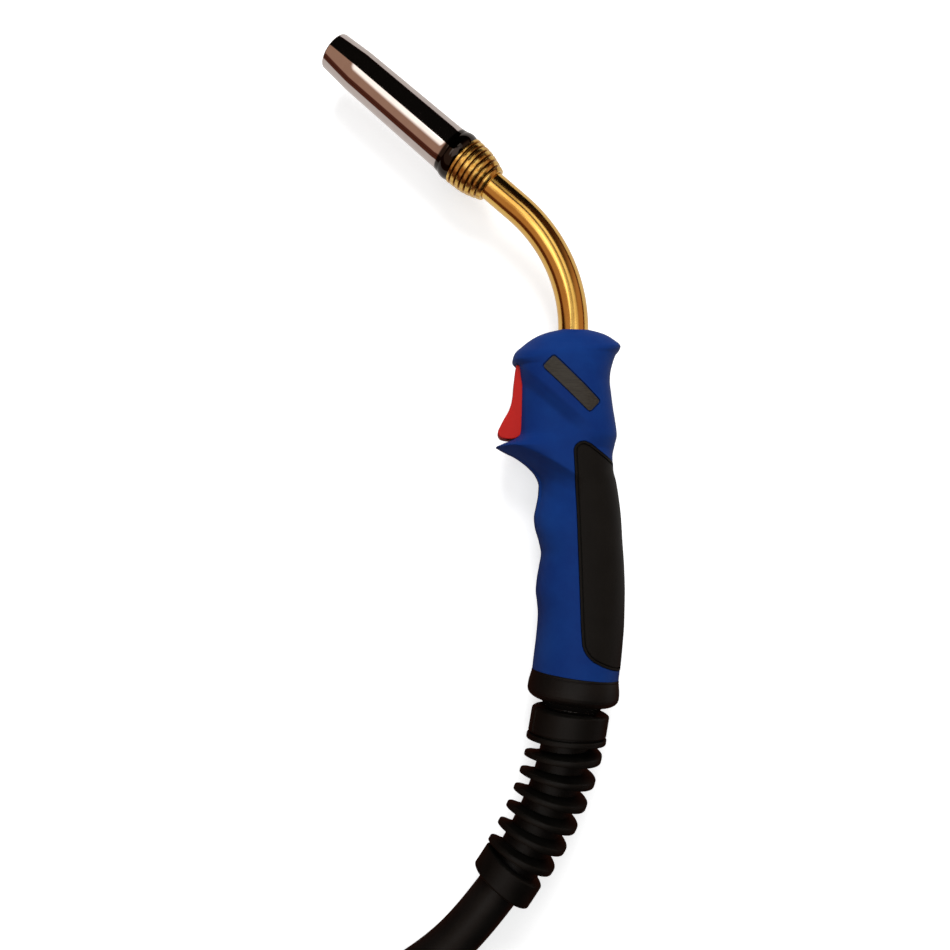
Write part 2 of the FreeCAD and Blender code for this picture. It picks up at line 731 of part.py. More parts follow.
def make_trigger():
    """Trigger on its pin, with the microswitch behind it."""
    back = switch_x - plunger_reach - 0.05
    shape = outline(
        (-29.3, 156.2), (-30.2, 145.5, -29.9, 151.0), (-33.4, 132.6, -31.4, 138.9),
        (-37.0, 125.9, -35.4, 129.2), (-34.8, 122.3, -37.0, 123.2), (-30.8, 121.9, -32.9, 121.8),
        (-27.4, 123.6), (-26.2, 126.5), (back, 128.5), (back, 146.5), (-20.7, 149.9),
        (-22.3, 154.9, -18.9, 153.4), (-26.0, 156.6))
    body = shape.extrude(V(0, 0, 2.0 * trigger_half_width))
    body.translate(V(0, 0, -trigger_half_width))
    pin_hole = upright(pivot_radius + pivot_gap, pivot_x, pivot_y, -20.0, 20.0)
    body = body.cut(pin_hole)
    hollow_half_width = trigger_half_width - trigger_wall
    hollow = Part.makeBox(4.2, 12.0, 2.0 * hollow_half_width, V(back - 4.0, 136.0, -hollow_half_width))
    body = body.cut(hollow)
    pin = upright(pivot_radius, pivot_x, pivot_y, -pivot_half_length, pivot_half_length)
    low = switch_y - switch_height / 2.0
    case = Part.makeBox(switch_depth, switch_height, 2.0 * switch_half_width,
                        V(switch_x, low, -switch_half_width))
    plunger_hole = post(plunger_radius + plunger_gap, switch_x - 1.0, switch_x + plunger_length, plunger_y, 0)
    case = case.cut(plunger_hole)
    plunger_tip = switch_x - plunger_reach
    plunger = post(plunger_radius, plunger_tip, plunger_tip + plunger_length - plunger_rear_gap, plunger_y, 0)
    wires = []
    face = ball_centre + rear_up * (ball_front_flat + 1.0)
    for side in (-1.0, 1.0):
        aside = side * switch_wire_pitch / 2.0
        top = V(switch_x + 4.0 + aside, low - fit_gap, 0)
        bend = V(top.x, tail_end_y - union_nut_length + union_nut_overlap, 0)
        over = V(-8.2 + aside, 94.0, 9.0)
        end = face + V(aside, 0, cable_core_radius + 2.1)
        down = V(0, -1, 0)
        edges = [Part.makeLine(top, bend)] + biarc(bend, down, over, down)
        edges += biarc(over, down, end, rear_up * -1.0)
        wires.append(swept(switch_wire_radius, Part.Wire(edges)))
    return {"trigger": body, "trigger_pin": pin, "switch_case": case, "switch_plunger": plunger,
            "switch_wires": Part.makeCompound(wires)}


def make_collar():
    """Collar ring with its ball seat, and the ball that it holds."""
    rim = rear_rim_along - 0.1
    seat_radius = ball_radius + ball_gap
    rear_offset = ring_rear_along - ball_along
    lip = math.sqrt(seat_radius ** 2 - rear_offset ** 2)
    seat_end = -3.4
    seat_end_radius = math.sqrt(seat_radius ** 2 - seat_end ** 2)
    middle = (rear_offset + seat_end) / 2.0
    middle_radius = math.sqrt(seat_radius ** 2 - middle ** 2)
    thread_start = rear_rim_along - spigot_length - 0.2
    ring = turned(
        (rim, ring_thread_radius), (rim, rear_rim_radius), (9.0, rear_rim_radius + 0.5),
        (5.6, ring_radius, 7.0, ring_radius - 0.15), (3.0, ring_radius),
        (ring_rear_along, ring_rear_radius, 0.9, ring_radius - 1.6),
        (ring_rear_along, lip), (ball_along + seat_end, seat_end_radius, ball_along + middle, middle_radius),
        (thread_start, seat_end_radius), (thread_start, ring_thread_radius))
    ball = Part.makeSphere(ball_radius, V(ball_along, 0, 0))
    front = Part.makeBox(20.0, 60.0, 60.0, V(ball_along + ball_front_flat, -30.0, -30.0))
    ball = ball.cut(front)
    ball = ball.fuse(pipe(ball_neck_radius, -ball_neck_end, 0))
    ball = ball.cut(pipe(cable_radius + cable_gap / 2.0, -ball_neck_end - 1.0, 40.0))
    return {"collar_ring": lay(ring, V(0, 0, 0), rear_angle), "ball": lay(ball, V(0, 0, 0), rear_angle)}


# Boot axis: a single bend that starts on the handle's rear axis
boot_start = rear_up * -boot_start_along
boot_start_angle = 270.0 - rear_tilt
boot_length = math.radians(boot_bend) * boot_bend_radius
boot_centre = boot_start + direction(boot_start_angle - 90.0) * boot_bend_radius


def boot_place(along, out=0.0, turn=0.0):
    """Point by its distance along the boot, its distance from the boot's axis and the turn about it."""
    angle = boot_start_angle + 90.0 - math.degrees(along / boot_bend_radius)
    across = direction(angle) * (boot_bend_radius + out * math.cos(math.radians(turn)))
    return boot_centre + across + V(0, 0, out * math.sin(math.radians(turn)))


def boot_bar(radius, start, end):
    """Round bar that follows the boot's axis."""
    arc = Part.Arc(boot_place(start), boot_place((start + end) / 2.0), boot_place(end)).toShape()
    return swept(radius, Part.Wire([arc]))


def flange_place(turn):
    """Middle of the spiral flange's round section at a turn in degrees; zero is at the back of the bend."""
    along = flange_first_right + flange_pitch * turn / FULL_TURN
    share = max(0.0, min(1.0, turn / (FULL_TURN * (flange_turns - 0.5))))
    radius = flange_first_radius + (flange_last_radius - flange_first_radius) * share
    return boot_place(along, radius - flange_half_thickness, turn)


def make_boot():
    """Rubber boot with collars, spiral flange and bore."""
    bore = cable_radius + cable_gap
    collar_end = boot_collar_length
    groove_end = collar_end + boot_groove_length
    rim_end = groove_end + boot_rim_length
    body = boot_bar(boot_core_radius, 0.5, boot_length - 1.0)
    body = body.fuse(boot_bar(boot_collar_radius, 0, collar_end))
    body = body.fuse(boot_bar(boot_rim_radius - boot_groove_depth, collar_end - 0.5, groove_end + 0.5))
    body = body.fuse(boot_bar(boot_rim_radius, groove_end, rim_end))
    body = body.fuse(boot_bar(boot_end_radius, boot_length - boot_end_length, boot_length))
    steps = int(round(flange_turns * 4))
    stations = [FULL_TURN * (i / 4.0) - 90.0 for i in range(steps + 1)]
    flange = swept(flange_half_thickness, curve_wire(flange_place, stations))
    body = body.fuse(flange)
    body = body.cut(boot_bar(bore, -2.0, boot_length + 2.0))
    neck_room = lay(pipe(ball_neck_radius + fit_gap, -ball_neck_end - 0.2, 5.0), V(0, 0, 0), rear_angle)
    return {"boot": body.cut([neck_room, Part.makeSphere(ball_radius + 0.3, ball_centre)])}


# The cable leaves the boot, comes down to the bench and goes into the coil
bench_z = -ring_radius
cable_floor_z = bench_z + cable_radius
cable_exit = boot_place(boot_length)
cable_exit_angle = boot_start_angle - boot_bend
coil_centre = V(coil_centre_x, coil_centre_y, 0)
coil_drift = coil_turn_step / (2.0 * math.pi)
coil_end_angle = 180.0 + math.degrees(math.atan(coil_drift / coil_outer_radius))
coil_turns = coil_whole_turns + (coil_end_angle - coil_entry_angle) / FULL_TURN
coil_reverse = 0.5
coil_inward_turns = (coil_turns - coil_reverse) / 2.0
coil_mean_radius = coil_outer_radius - coil_turn_step * coil_inward_turns / 2.0


def coil_place(turn):
    """Middle of the coiled cable after a number of turns from where it enters the outer turn."""
    inward = coil_inward_turns
    inner = coil_outer_radius - coil_turn_step * inward
    if turn < inward:
        radius = coil_outer_radius - coil_turn_step * turn
        climb = 0.0
    elif turn < inward + coil_reverse:
        past = turn - inward
        radius = inner - coil_turn_step * past + coil_turn_step * past * past / coil_reverse
        share = past / coil_reverse
        climb = share * share * (3.0 - 2.0 * share)
    else:
        radius = inner + coil_turn_step * (turn - inward - coil_reverse)
        climb = 1.0
    angle = coil_entry_angle + FULL_TURN * turn
    height = cable_floor_z + coil_layer_step * climb
    return coil_centre + direction(angle) * radius + V(0, 0, height)


def heading_at(place_at, station):
    """Unit heading of a curve at a station."""
    step = 1e-4
    ahead = place_at(station + step) - place_at(station - step)
    return ahead * (1.0 / ahead.Length)


coil_start_heading = heading_at(coil_place, 0.001)
coil_end_heading = heading_at(coil_place, coil_turns)
coil_lead_in = coil_place(0) - coil_start_heading * (2.0 * cable_radius)
coil_lead_out = coil_place(coil_turns) + coil_end_heading * (2.0 * cable_radius)
cable_last_run = 22.0


def rounded_route(points):
    """Wire of straight runs joined by tangent arcs, each as large as its two runs allow."""
    edges = []
    here = points[0]
    radii = []
    for i in range(1, len(points) - 1):
        into = points[i] - points[i - 1]
        out = points[i + 1] - points[i]
        turn = into.getAngle(out)
        trim = 0.45 * min(into.Length, out.Length)
        radii.append(trim / math.tan(turn / 2.0))
        start = points[i] - into * (trim / into.Length)
        end = points[i] + out * (trim / out.Length)
        edges.append(Part.makeLine(here, start))
        edges.append(arc_by_tangent(start, into * (1.0 / into.Length), end))
        here = end
    edges.append(Part.makeLine(here, points[-1]))
    return Part.Wire(edges), radii


def make_cable():
    """Free cable, coil and the tail that ends in the plug."""
    first = cable_exit + direction(cable_exit_angle) * 20.0 + V(0, 0, -0.4)
    second = V(-59.0, -117.3, -2.8)
    third = V(-79.5, -132.9, -7.4)
    fourth = coil_lead_in - coil_start_heading * cable_last_run
    route = [cable_exit, first, second, third, fourth, coil_lead_in]
    path, radii = rounded_route(route)
    free = swept(cable_radius, path)
    print("cable route", [tuple(round(c, 1) for c in p) for p in route])
    print("cable radii", [round(r, 0) for r in radii], "free length", round(path.Length, 1),
          "volume share", round(free.Volume / (math.pi * cable_radius ** 2 * path.Length), 4))
    quarters = int(math.ceil(coil_turns * 4))
    stations = [coil_turns * i / quarters for i in range(quarters + 1)]
    stations = sorted(set([s for s in stations] + [coil_inward_turns, coil_inward_turns + coil_reverse]))
    turns = curve_wire(coil_place, stations)
    edges = [Part.makeLine(coil_lead_in, turns.Edges[0].valueAt(turns.Edges[0].FirstParameter))]
    edges += turns.Edges
    edges.append(Part.makeLine(coil_place(coil_turns), coil_lead_out))
    coil_path = Part.Wire(edges)
    coil = swept(cable_radius, coil_path)
    samples = [coil_place(coil_turns * i / 600.0) for i in range(601)]
    least = 1e9
    apart = int(600 / coil_turns * 0.4)
    for i in range(0, 601):
        for j in range(i + apart, 601):
            least = min(least, samples[i].distanceToPoint(samples[j]))
    print("coil length", round(coil_path.Length, 1), "least gap to itself",
          round(least - 2.0 * cable_radius, 2), "across at mid turn", round(2.0 * coil_mean_radius, 1))
    plug_z = bench_z + plug_axis_height
    tail_start = coil_lead_out
    tail_x = tail_start.x
    tail_end = V(tail_x, tail_start.y - tail_length, plug_z)
    low = tail_start.z
    tail_route = [tail_start, V(tail_x, tail_start.y - tail_end_run, low),
                  V(tail_x, tail_end.y + tail_end_run, plug_z), tail_end]
    tail_path, tail_radii = rounded_route(tail_route)
    tail = swept(cable_radius, tail_path)
    inner_start = ball_centre + rear_up * ball_front_flat
    inner_edges = [Part.makeLine(inner_start, boot_place(0))]
    bend = Part.Arc(boot_place(0), boot_place(boot_length / 2.0), boot_place(boot_length))
    inner_edges.append(bend.toShape())
    inner = swept(cable_radius, Part.Wire(inner_edges))
    total = path.Length + coil_path.Length + tail_path.Length
    print("tail route", [tuple(round(c, 1) for c in p) for p in tail_route], "radii",
          [round(r, 0) for r in tail_radii])
    print("cable from boot to plug", round(total, 1))
    return {"cable": free, "cable_coil": coil, "cable_tail": tail, "cable_in_boot": inner}, tail_end


def across_bar(radius, spot, low, high):
    """Round bar across the plug, along Y, through a spot."""
    return Part.makeCylinder(radius, high - low, spot + V(0, low, 0), V(0, 1, 0))


def make_plug(start):
    """Plug for the machine's central socket, drawn along X from where the cable enters it."""
    boot_end = plug_boot_length
    grip_end = boot_end + plug_boot_grip
    house_start = boot_end + 0.3
    house_end = house_start + housing_length
    neck_start = house_end - housing_neck_length
    boot = turned((0, 0), (0, plug_boot_rear_radius), (boot_end, plug_boot_front_radius),
                  (boot_end, 0)).fuse(pipe(plug_boot_front_radius - 1.6, boot_end - 0.5, grip_end))
    for i in range(5):
        groove = 8.0 + 6.0 * i
        growth = (plug_boot_front_radius - plug_boot_rear_radius) * groove / boot_end
        floor = plug_boot_rear_radius - 1.0 + growth
        boot = boot.cut(tube(20.0, floor, groove, groove + 2.2))
    inner_cable = pipe(cable_radius, 0.0, grip_end + 4.0)
    boot = boot.cut(pipe(cable_radius + cable_gap, -1.0, grip_end + 1.0))
    house = turned(
        (house_start, 0), (house_start, housing_rear_radius), (house_start + 9.0, housing_radius - 0.8,
        house_start + 3.5, housing_radius - 2.4), (house_start + 20.0, housing_radius),
        (house_end - 10.0, housing_radius), (neck_start, housing_radius - 1.2),
        (neck_start, housing_neck_radius), (house_end, housing_neck_radius), (house_end, 0))
    hollow_radius = housing_radius - 1.2 - housing_wall
    hollow = turned(
        (house_start + 3.0, 0), (house_start + 3.0, housing_rear_radius - housing_wall),
        (house_start + 10.0, hollow_radius), (house_end - 12.0, hollow_radius),
        (house_end - 12.0, plug_body_radius + fit_gap), (house_end + 1.0, plug_body_radius + fit_gap),
        (house_end + 1.0, 0))
    grip_hole = pipe(plug_boot_front_radius - 1.6 + fit_gap, house_start - 1.0, house_start + 4.0)
    house = house.cut(hollow).cut(grip_hole)
    big = 200.0
    left_room = Part.makeBox(big, big, big, V(-50.0, 0, -big / 2.0))
    right_room = Part.makeBox(big, big, big, V(-50.0, -big, -big / 2.0))
    bosses = []
    for along in housing_screw_places:
        for side in (-1.0, 1.0):
            spot = V(house_start + along, 0, housing_screw_offset * side)
            bosses.append(across_bar(3.2, spot, -housing_radius, housing_radius).common(hollow))
    for boss in bosses:
        house = house.fuse(boss)
    screws = []
    seat = 9.0
    left = house.common(left_room)
    right = house.common(right_room)
    for along in housing_screw_places:
        for side in (-1.0, 1.0):
            spot = V(house_start + along, 0, housing_screw_offset * side)
            shank = across_bar(housing_screw_radius, spot, -seat - 0.5, seat - 2.0)
            head = across_bar(housing_screw_head_radius, spot, -seat - 2.2 - fit_gap, -seat - fit_gap)
            socket = across_bar(1.1, spot, -seat - 2.3, -seat - 1.1)
            screws.append(shank.fuse(head).cut(socket))
            bore = across_bar(housing_screw_radius + fit_gap, spot, -seat - 1.0, 1.0)
            pilot = across_bar(housing_screw_radius + fit_gap, spot, -1.0, seat - 1.5)
            pit = across_bar(housing_screw_head_radius + 0.15, spot, -seat - 30.0, -seat)
            right = right.cut(bore).cut(pit)
            left = left.cut(pilot)
    flange_start = house_end + fit_gap
    flange_end = flange_start + plug_flange_thickness
    body = pipe(plug_body_radius, house_end - 14.0, flange_end)
    body = body.fuse(pipe(plug_body_radius + 3.5, house_end - 16.5, house_end - 12.2))
    body = body.fuse(pipe(8.5, house_end - 30.0, house_end - 15.0))
    pin_end = flange_end + current_pin_length
    body = body.fuse(pipe(current_pin_radius, flange_end - 0.5, pin_end))
    body = body.cut(pipe(gas_tube_radius + fit_gap, house_end - 31.0, pin_end + 1.0))
    flange = tube(plug_flange_radius, plug_body_radius + fit_gap, flange_start, flange_end)
    hex_end = pin_end + fit_gap + gas_hex_length
    tube_end = hex_end + gas_tube_length
    gas = pipe(gas_tube_radius, house_end - 28.0, tube_end)
    gas = gas.fuse(hexagon(gas_hex_across, pin_end + fit_gap, hex_end))
    gas = gas.cut(pipe(liner_channel - 0.5, house_end - 29.0, tube_end + 1.0))
    seal_place = tube_end - 4.0
    seal_middle = V(seal_place, 0, 0)
    seal = Part.makeTorus(gas_tube_radius + 0.25, seal_radius, seal_middle, V(1, 0, 0))
    gas = gas.cut(Part.makeTorus(gas_tube_radius + 0.25, seal_radius + fit_gap, seal_middle, V(1, 0, 0)))
    nut_start = neck_start + plug_nut_gap
    nut_end = nut_start + plug_nut_length
    lip_end = house_end - plug_nut_gap
    nut = turned(
        (nut_start, housing_neck_radius + plug_nut_gap), (nut_start, plug_nut_radius - 1.4),
        (nut_start + 1.6, plug_nut_radius), (nut_end - 1.2, plug_nut_radius),
        (nut_end, plug_nut_radius - 1.2), (nut_end, plug_nut_bore_radius), (lip_end, plug_nut_bore_radius),
        (lip_end, housing_neck_radius + plug_nut_gap))
    for i in range(plug_nut_ribs):
        flute = Part.makeCylinder(plug_nut_rib_depth * 2.0, plug_nut_length - 7.0,
                                  V(nut_start + 3.5, 0, plug_nut_radius + plug_nut_rib_depth), V(1, 0, 0))
        flute.rotate(V(0, 0, 0), V(1, 0, 0), FULL_TURN * (i + 0.5) / plug_nut_ribs)
        nut = nut.cut(flute)
    pieces = {"plug_boot": boot, "plug_shell_left": left, "plug_shell_right": right,
              "plug_screws": Part.makeCompound(screws), "plug_body": body, "gas_tube": gas,
              "seal_ring": seal, "hand_nut": nut, "plug_cable_end": inner_cable}
    barrels = []
    barrel_start = flange_end - control_barrel_length
    bore_start = barrel_start + control_barrel_bottom
    hole_start = barrel_start - control_wire_room
    pin_start = bore_start + control_pin_travel + control_pin_rear_gap
    pin_tip = flange_end + control_pin_length
    for name, side in (("control_pin_left", 1.0), ("control_pin_right", -1.0)):
        turn = math.radians(90.0 - side * control_pin_spread)
        y = control_pin_circle * math.cos(turn)
        z = control_pin_circle * math.sin(turn)
        hole = post(control_barrel_radius + fit_gap, hole_start, flange_end + 1.0, y, z)
        flange = flange.cut(hole)
        left = left.cut(hole)
        right = right.cut(hole)
        barrel = post(control_barrel_radius, barrel_start, flange_end, y, z)
        bore = post(control_pin_radius + control_pin_gap, bore_start, flange_end + 1.0, y, z)
        barrels.append(barrel.cut(bore))
        pin = post(control_pin_radius, pin_start, pin_tip - 1.0, y, z)
        point = Part.makeCone(control_pin_radius, control_pin_radius - 0.7, 1.0, V(pin_tip - 1.0, y, z),
                              V(1, 0, 0))
        pieces[name] = pin.fuse(point)
    pieces["plug_shell_left"] = left
    pieces["plug_shell_right"] = right
    pieces["plug_flange"] = flange
    pieces["control_barrels"] = Part.makeCompound(barrels)
    return {name: lay(shape, start, -90.0) for name, shape in pieces.items()}


def make_all():
    """Every piece by its node's name, about the torch's rear point."""
    pieces = {}
    for made in (make_neck(), make_head(), make_nozzle(), make_tip_parts(), make_union(), make_handle(),
                 make_trigger(), make_collar(), make_boot()):
        pieces.update(made)
    cable, tail_end = make_cable()
    pieces.update(cable)
    on_cord = make_plug(tail_end)
    pieces.update(on_cord)
    cord_names = set(on_cord) | {"cable", "cable_coil", "cable_tail"}
    return pieces, cord_names


pieces, cord_names = make_all()
own = Part.makeCompound([shape for name, shape in pieces.items() if name not in cord_names])
box = own.optimalBoundingBox(False)
shift = V(-(box.XMin + box.XMax) / 2.0, -(box.YMin + box.YMax) / 2.0, -box.ZMin)
print("torch box", round(box.XLength, 2), round(box.YLength, 2), round(box.ZLength, 2))
print("rear point", tuple(round(c, 4) for c in shift))
print("ranges: nozzle", nozzle_travel, "mm, trigger", trigger_angle, "degrees, ball", swivel_angle,
      "degrees each way, control pins", control_pin_travel, "mm")
os.makedirs("parts", exist_ok=True)
for name in sorted(pieces):
    piece = pieces[name]
    piece.translate(shift)
    piece.exportStep("parts/" + name + ".step")
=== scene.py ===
import json
import math

import bpy
import numpy as np
from mathutils import Matrix, Vector


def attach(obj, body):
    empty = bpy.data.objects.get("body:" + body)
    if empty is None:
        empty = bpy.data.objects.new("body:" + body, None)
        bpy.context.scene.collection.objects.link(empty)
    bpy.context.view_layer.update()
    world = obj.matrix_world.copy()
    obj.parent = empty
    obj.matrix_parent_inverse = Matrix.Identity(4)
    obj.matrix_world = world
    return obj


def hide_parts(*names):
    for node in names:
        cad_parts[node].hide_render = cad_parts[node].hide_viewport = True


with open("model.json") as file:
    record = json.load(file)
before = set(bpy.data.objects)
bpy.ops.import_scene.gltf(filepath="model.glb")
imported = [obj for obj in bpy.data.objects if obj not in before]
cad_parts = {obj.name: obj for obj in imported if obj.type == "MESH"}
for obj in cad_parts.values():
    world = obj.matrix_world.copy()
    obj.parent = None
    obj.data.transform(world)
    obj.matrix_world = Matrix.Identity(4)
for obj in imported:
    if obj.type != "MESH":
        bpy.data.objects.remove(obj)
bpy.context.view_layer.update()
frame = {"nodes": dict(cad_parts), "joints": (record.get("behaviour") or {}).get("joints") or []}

# The torch on the bench. It lies on its side, and all sizes are in millimetres from its rear point, the
# middle of the gap between collar ring and boot on the plane on which the handle is parted: X runs
# towards the back of the handle, Y towards the neck, Z up from that plane.
MM = 0.001
rear_tilt = math.radians(6.0)
ball_from_rear = 6.0
rear_axis = Vector((math.sin(rear_tilt), math.cos(rear_tilt), 0.0))
swivel_at = next(j for j in frame["joints"] if j["name"] == "ball_swivel")["pos_m"]
rear_point = Vector(swivel_at) - rear_axis * (ball_from_rear * MM)


def at(x, y, z=0.0):
    """Point of the row frame, in metres, from millimetres about the torch's rear point."""
    return rear_point + Vector((x, y, z)) * MM


def heading(degrees):
    """Unit vector on the middle plane at an angle from X."""
    return Vector((math.cos(math.radians(degrees)), math.sin(math.radians(degrees)), 0.0))


# The camera looks down on the torch from a short distance, leaning a little, so the picture narrows
# towards the nozzle. Its focal length is 900 pixels of a picture of 950.
camera_target = at(-47.9, 103.9)
camera_place = at(-47.0, 70.4, 426.2)
picture_turn = math.radians(1.5)
sensor_width, focal_share = 36.0, 900.0 / 950.0
camera_data = bpy.data.cameras.new("camera")
camera_data.sensor_width = sensor_width
camera_data.lens = sensor_width * focal_share
camera_data.clip_start = 0.01
camera = bpy.data.objects.new("camera", camera_data)
bpy.context.scene.collection.objects.link(camera)
ahead = (camera_target - camera_place).normalized()
picture_up = Vector((-math.sin(picture_turn), math.cos(picture_turn), 0.0))
right = ahead.cross(picture_up).normalized()
up = right.cross(ahead)
camera.matrix_world = Matrix((
    (right.x, up.x, -ahead.x, camera_place.x),
    (right.y, up.y, -ahead.y, camera_place.y),
    (right.z, up.z, -ahead.z, camera_place.z),
    (0.0, 0.0, 0.0, 1.0)))
bpy.context.scene.camera = camera
bpy.context.scene.view_settings.view_transform = "Standard"


def colour(code):
    """Linear red, green and blue, with alpha, from an sRGB hex code."""
    shares = [int(code[i:i + 2], 16) / 255.0 for i in (1, 3, 5)]
    return [s / 12.92 if s <= 0.04045 else ((s + 0.055) / 1.055) ** 2.4 for s in shares] + [1.0]


def add_node(tree, kind, settings=None, links=None):
    """Adds a node; settings name its properties or sockets, links join other nodes' sockets to its own."""
    node = tree.nodes.new(kind)
    for key, value in (settings or {}).items():
        if isinstance(key, str) and hasattr(node, key):
            setattr(node, key, value)
        else:
            node.inputs[key].default_value = value
    for key, source in (links or {}).items():
        tree.links.new(source, node.inputs[key])
    return node


# Bench, lamps and room. The bench is a white sheet that keeps a soft shadow. In metal it shows as a painted
# reflection: a glowing sheet, light near the torch and brown beyond, in a brown room that is black past the
# nozzle and dark over the neck, with two soft boxes on its ceiling. One soft lamp stands beyond the nozzle
# and one fills from overhead.
half_bench = 3.0
bench_mesh = bpy.data.meshes.new("bench")
bench_mesh.from_pydata([(-half_bench, -half_bench, 0), (half_bench, -half_bench, 0),
                        (half_bench, half_bench, 0), (-half_bench, half_bench, 0)], [], [(0, 1, 2, 3)])
bench = bpy.data.objects.new("bench", bench_mesh)
bench.location.z = -0.0005
bpy.context.scene.collection.objects.link(bench)
nozzle_angle = 140.0
nozzle_middle = at(-100.0, 300.0)
along_nozzle, across_nozzle = heading(nozzle_angle), heading(nozzle_angle - 90.0)


def soft_mask(tree, steps, mask=None):
    """Product of smooth steps, each of a value from zero at one limit to one at another, and a mask."""
    for value, zero_at, one_at in steps:
        step = add_node(tree, "ShaderNodeMapRange", {"interpolation_type": "SMOOTHSTEP", "From Min": zero_at,
                                                     "From Max": one_at}, {"Value": value}).outputs[0]
        if mask is not None:
            step = add_node(tree, "ShaderNodeMath", {"operation": "MULTIPLY"}, {0: mask, 1: step}).outputs[0]
        mask = step
    return mask


def seen_by(tree, base, mirror, eye):
    """Shader that lights as one surface, shows in metal as another and to the camera as a third."""
    rays = add_node(tree, "ShaderNodeLightPath")
    for kind, sight in (("Is Glossy Ray", mirror), ("Is Camera Ray", eye)):
        base = add_node(tree, "ShaderNodeMixShader", {},
                        {0: rays.outputs[kind], 1: base.outputs[0], 2: sight.outputs[0]})
    return base.outputs[0]


bench_sheet = bpy.data.materials.new("white_bench_sheet")
bench_sheet.use_nodes = True
tree = bench_sheet.node_tree
tree.nodes.clear()
paper = add_node(tree, "ShaderNodeBsdfDiffuse", {"Color": colour("#eeeeee")})
glow = add_node(tree, "ShaderNodeEmission", {"Color": (1, 1, 1, 1), "Strength": 0.62})
lifted = add_node(tree, "ShaderNodeAddShader", {}, {0: paper.outputs[0], 1: glow.outputs[0]})
# Painted reflection: to metal the bench is a glowing sheet, light up to 95 mm past the nozzle on its far side
# and brown beyond.
spot = add_node(tree, "ShaderNodeTexCoord")
reach = add_node(tree, "ShaderNodeVectorMath", {"operation": "DOT_PRODUCT", 1: tuple(-across_nozzle)},
                 {0: spot.outputs["Object"]})
lit_reach, lit_edge = -across_nozzle.dot(nozzle_middle) + 0.095, 0.012
painted_lit_share = soft_mask(tree, [(reach.outputs["Value"], lit_reach + lit_edge, lit_reach - lit_edge)])
painted_reflection_tone = add_node(tree, "ShaderNodeMix", {"data_type": "RGBA", 6: colour("#5c3022"), 7: colour("#e2dcd8")},
                    {0: painted_lit_share})
painted_reflection_sheet = add_node(tree, "ShaderNodeEmission", {"Strength": 1.0}, {"Color": painted_reflection_tone.outputs[2]})
add_node(tree, "ShaderNodeOutputMaterial", {}, {"Surface": seen_by(tree, paper, painted_reflection_sheet, lifted)})
bench_mesh.materials.append(bench_sheet)


def soft_lamp(name, place, target, width, power, glossy):
    """Square area lamp that faces a point; metal sees it only where glossy is true."""
    data = bpy.data.lights.new(name, "AREA")
    data.shape = "SQUARE"
    data.size = width
    data.energy = power
    lamp = bpy.data.objects.new(name, data)
    lamp.location = place
    lamp.rotation_mode = "QUATERNION"
    lamp.rotation_quaternion = (target - place).to_track_quat("-Z", "Y")
    lamp.visible_glossy = glossy
    bpy.context.scene.collection.objects.link(lamp)


soft_lamp("lamp_beyond_nozzle", at(0.0, 860.0, 760.0), at(-20.0, 100.0), 0.5, 8.8, False)
soft_lamp("lamp_overhead", at(-60.0, 60.0, 900.0), at(-30.0, 60.0), 0.7, 1.5, True)

room = bpy.data.worlds.new("dim_room")
bpy.context.scene.world = room
room.use_nodes = True
tree = room.node_tree
tree.nodes.clear()
view = add_node(tree, "ShaderNodeTexCoord").outputs["Generated"]
side, front, height = (
    add_node(tree, "ShaderNodeVectorMath", {"operation": "DOT_PRODUCT", 1: tuple(axis)},
             {0: view}).outputs["Value"]
    for axis in (across_nozzle, along_nozzle, (0.0, 0.0, 1.0)))


def ceiling_patch(tree, side, front, height, sides, fronts):
    """Mask of a patch of ceiling between slopes: where it begins, is full, stays full and ends."""
    overhead = add_node(tree, "ShaderNodeMath", {"operation": "GREATER_THAN", 1: 0.05}, {0: height})
    steps = []
    for value, (begins, full, stays, ends) in ((side, sides), (front, fronts)):
        slope = add_node(tree, "ShaderNodeMath", {"operation": "DIVIDE"}, {0: value, 1: height}).outputs[0]
        steps += [(slope, begins, full), (slope, ends, stays)]
    return soft_mask(tree, steps, overhead.outputs[0])


black_share = ceiling_patch(tree, side, front, height, (-0.11, -0.07, 40.0, 50.0), (0.26, 0.32, 40.0, 50.0))
for steps in ([(front, -0.3, -0.42), (side, 0.4, 0.3)], [(front, 0.8, 0.88)]):
    wider = add_node(tree, "ShaderNodeMath", {"operation": "MAXIMUM"},
                     {0: black_share, 1: soft_mask(tree, steps)})
    black_share = wider.outputs[0]
brown_over_neck = soft_mask(tree, [(side, 0.04, 0.1), (front, -0.32, 0.02)])
wall_colour = add_node(tree, "ShaderNodeValToRGB", {}, {"Fac": height})
for place, tone in ((0.02, "#140a07"), (0.05, "#6e4030"), (0.12, "#54291c"), (0.2, "#63352a"),
                    (0.27, "#b8927c")):
    stop = wall_colour.color_ramp.elements.new(place)
    stop.color = colour(tone)
wall_colour.color_ramp.elements[0].color = colour("#140a07")
wall_colour.color_ramp.elements[-1].color = colour("#b8927c")
nozzle_box = ceiling_patch(tree, side, front, height, (-0.86, -0.4, -0.1, -0.06), (0.27, 0.31, 0.5, 0.62))
neck_box = ceiling_patch(tree, side, front, height, (0.2, 0.36, 0.58, 0.72), (-0.47, -0.37, 0.2, 0.27))
brighter = add_node(tree, "ShaderNodeMath", {"operation": "MULTIPLY_ADD", 1: 0.5, 2: 0.5},
                    {0: soft_mask(tree, [(front, -0.1, 0.2)])})
neck_glow = add_node(tree, "ShaderNodeMath", {"operation": "MULTIPLY"}, {0: neck_box, 1: brighter.outputs[0]})
room_tone = wall_colour.outputs["Color"]
for share, tone in ((brown_over_neck, colour("#3c2018")), (black_share, colour("#100e0c")),
                    (neck_glow.outputs[0], (1.5, 1.42, 1.3, 1.0)), (nozzle_box, (2.0, 1.95, 1.85, 1.0))):
    layer = add_node(tree, "ShaderNodeMix", {"data_type": "RGBA", 7: tone}, {0: share, 6: room_tone})
    room_tone = layer.outputs[2]
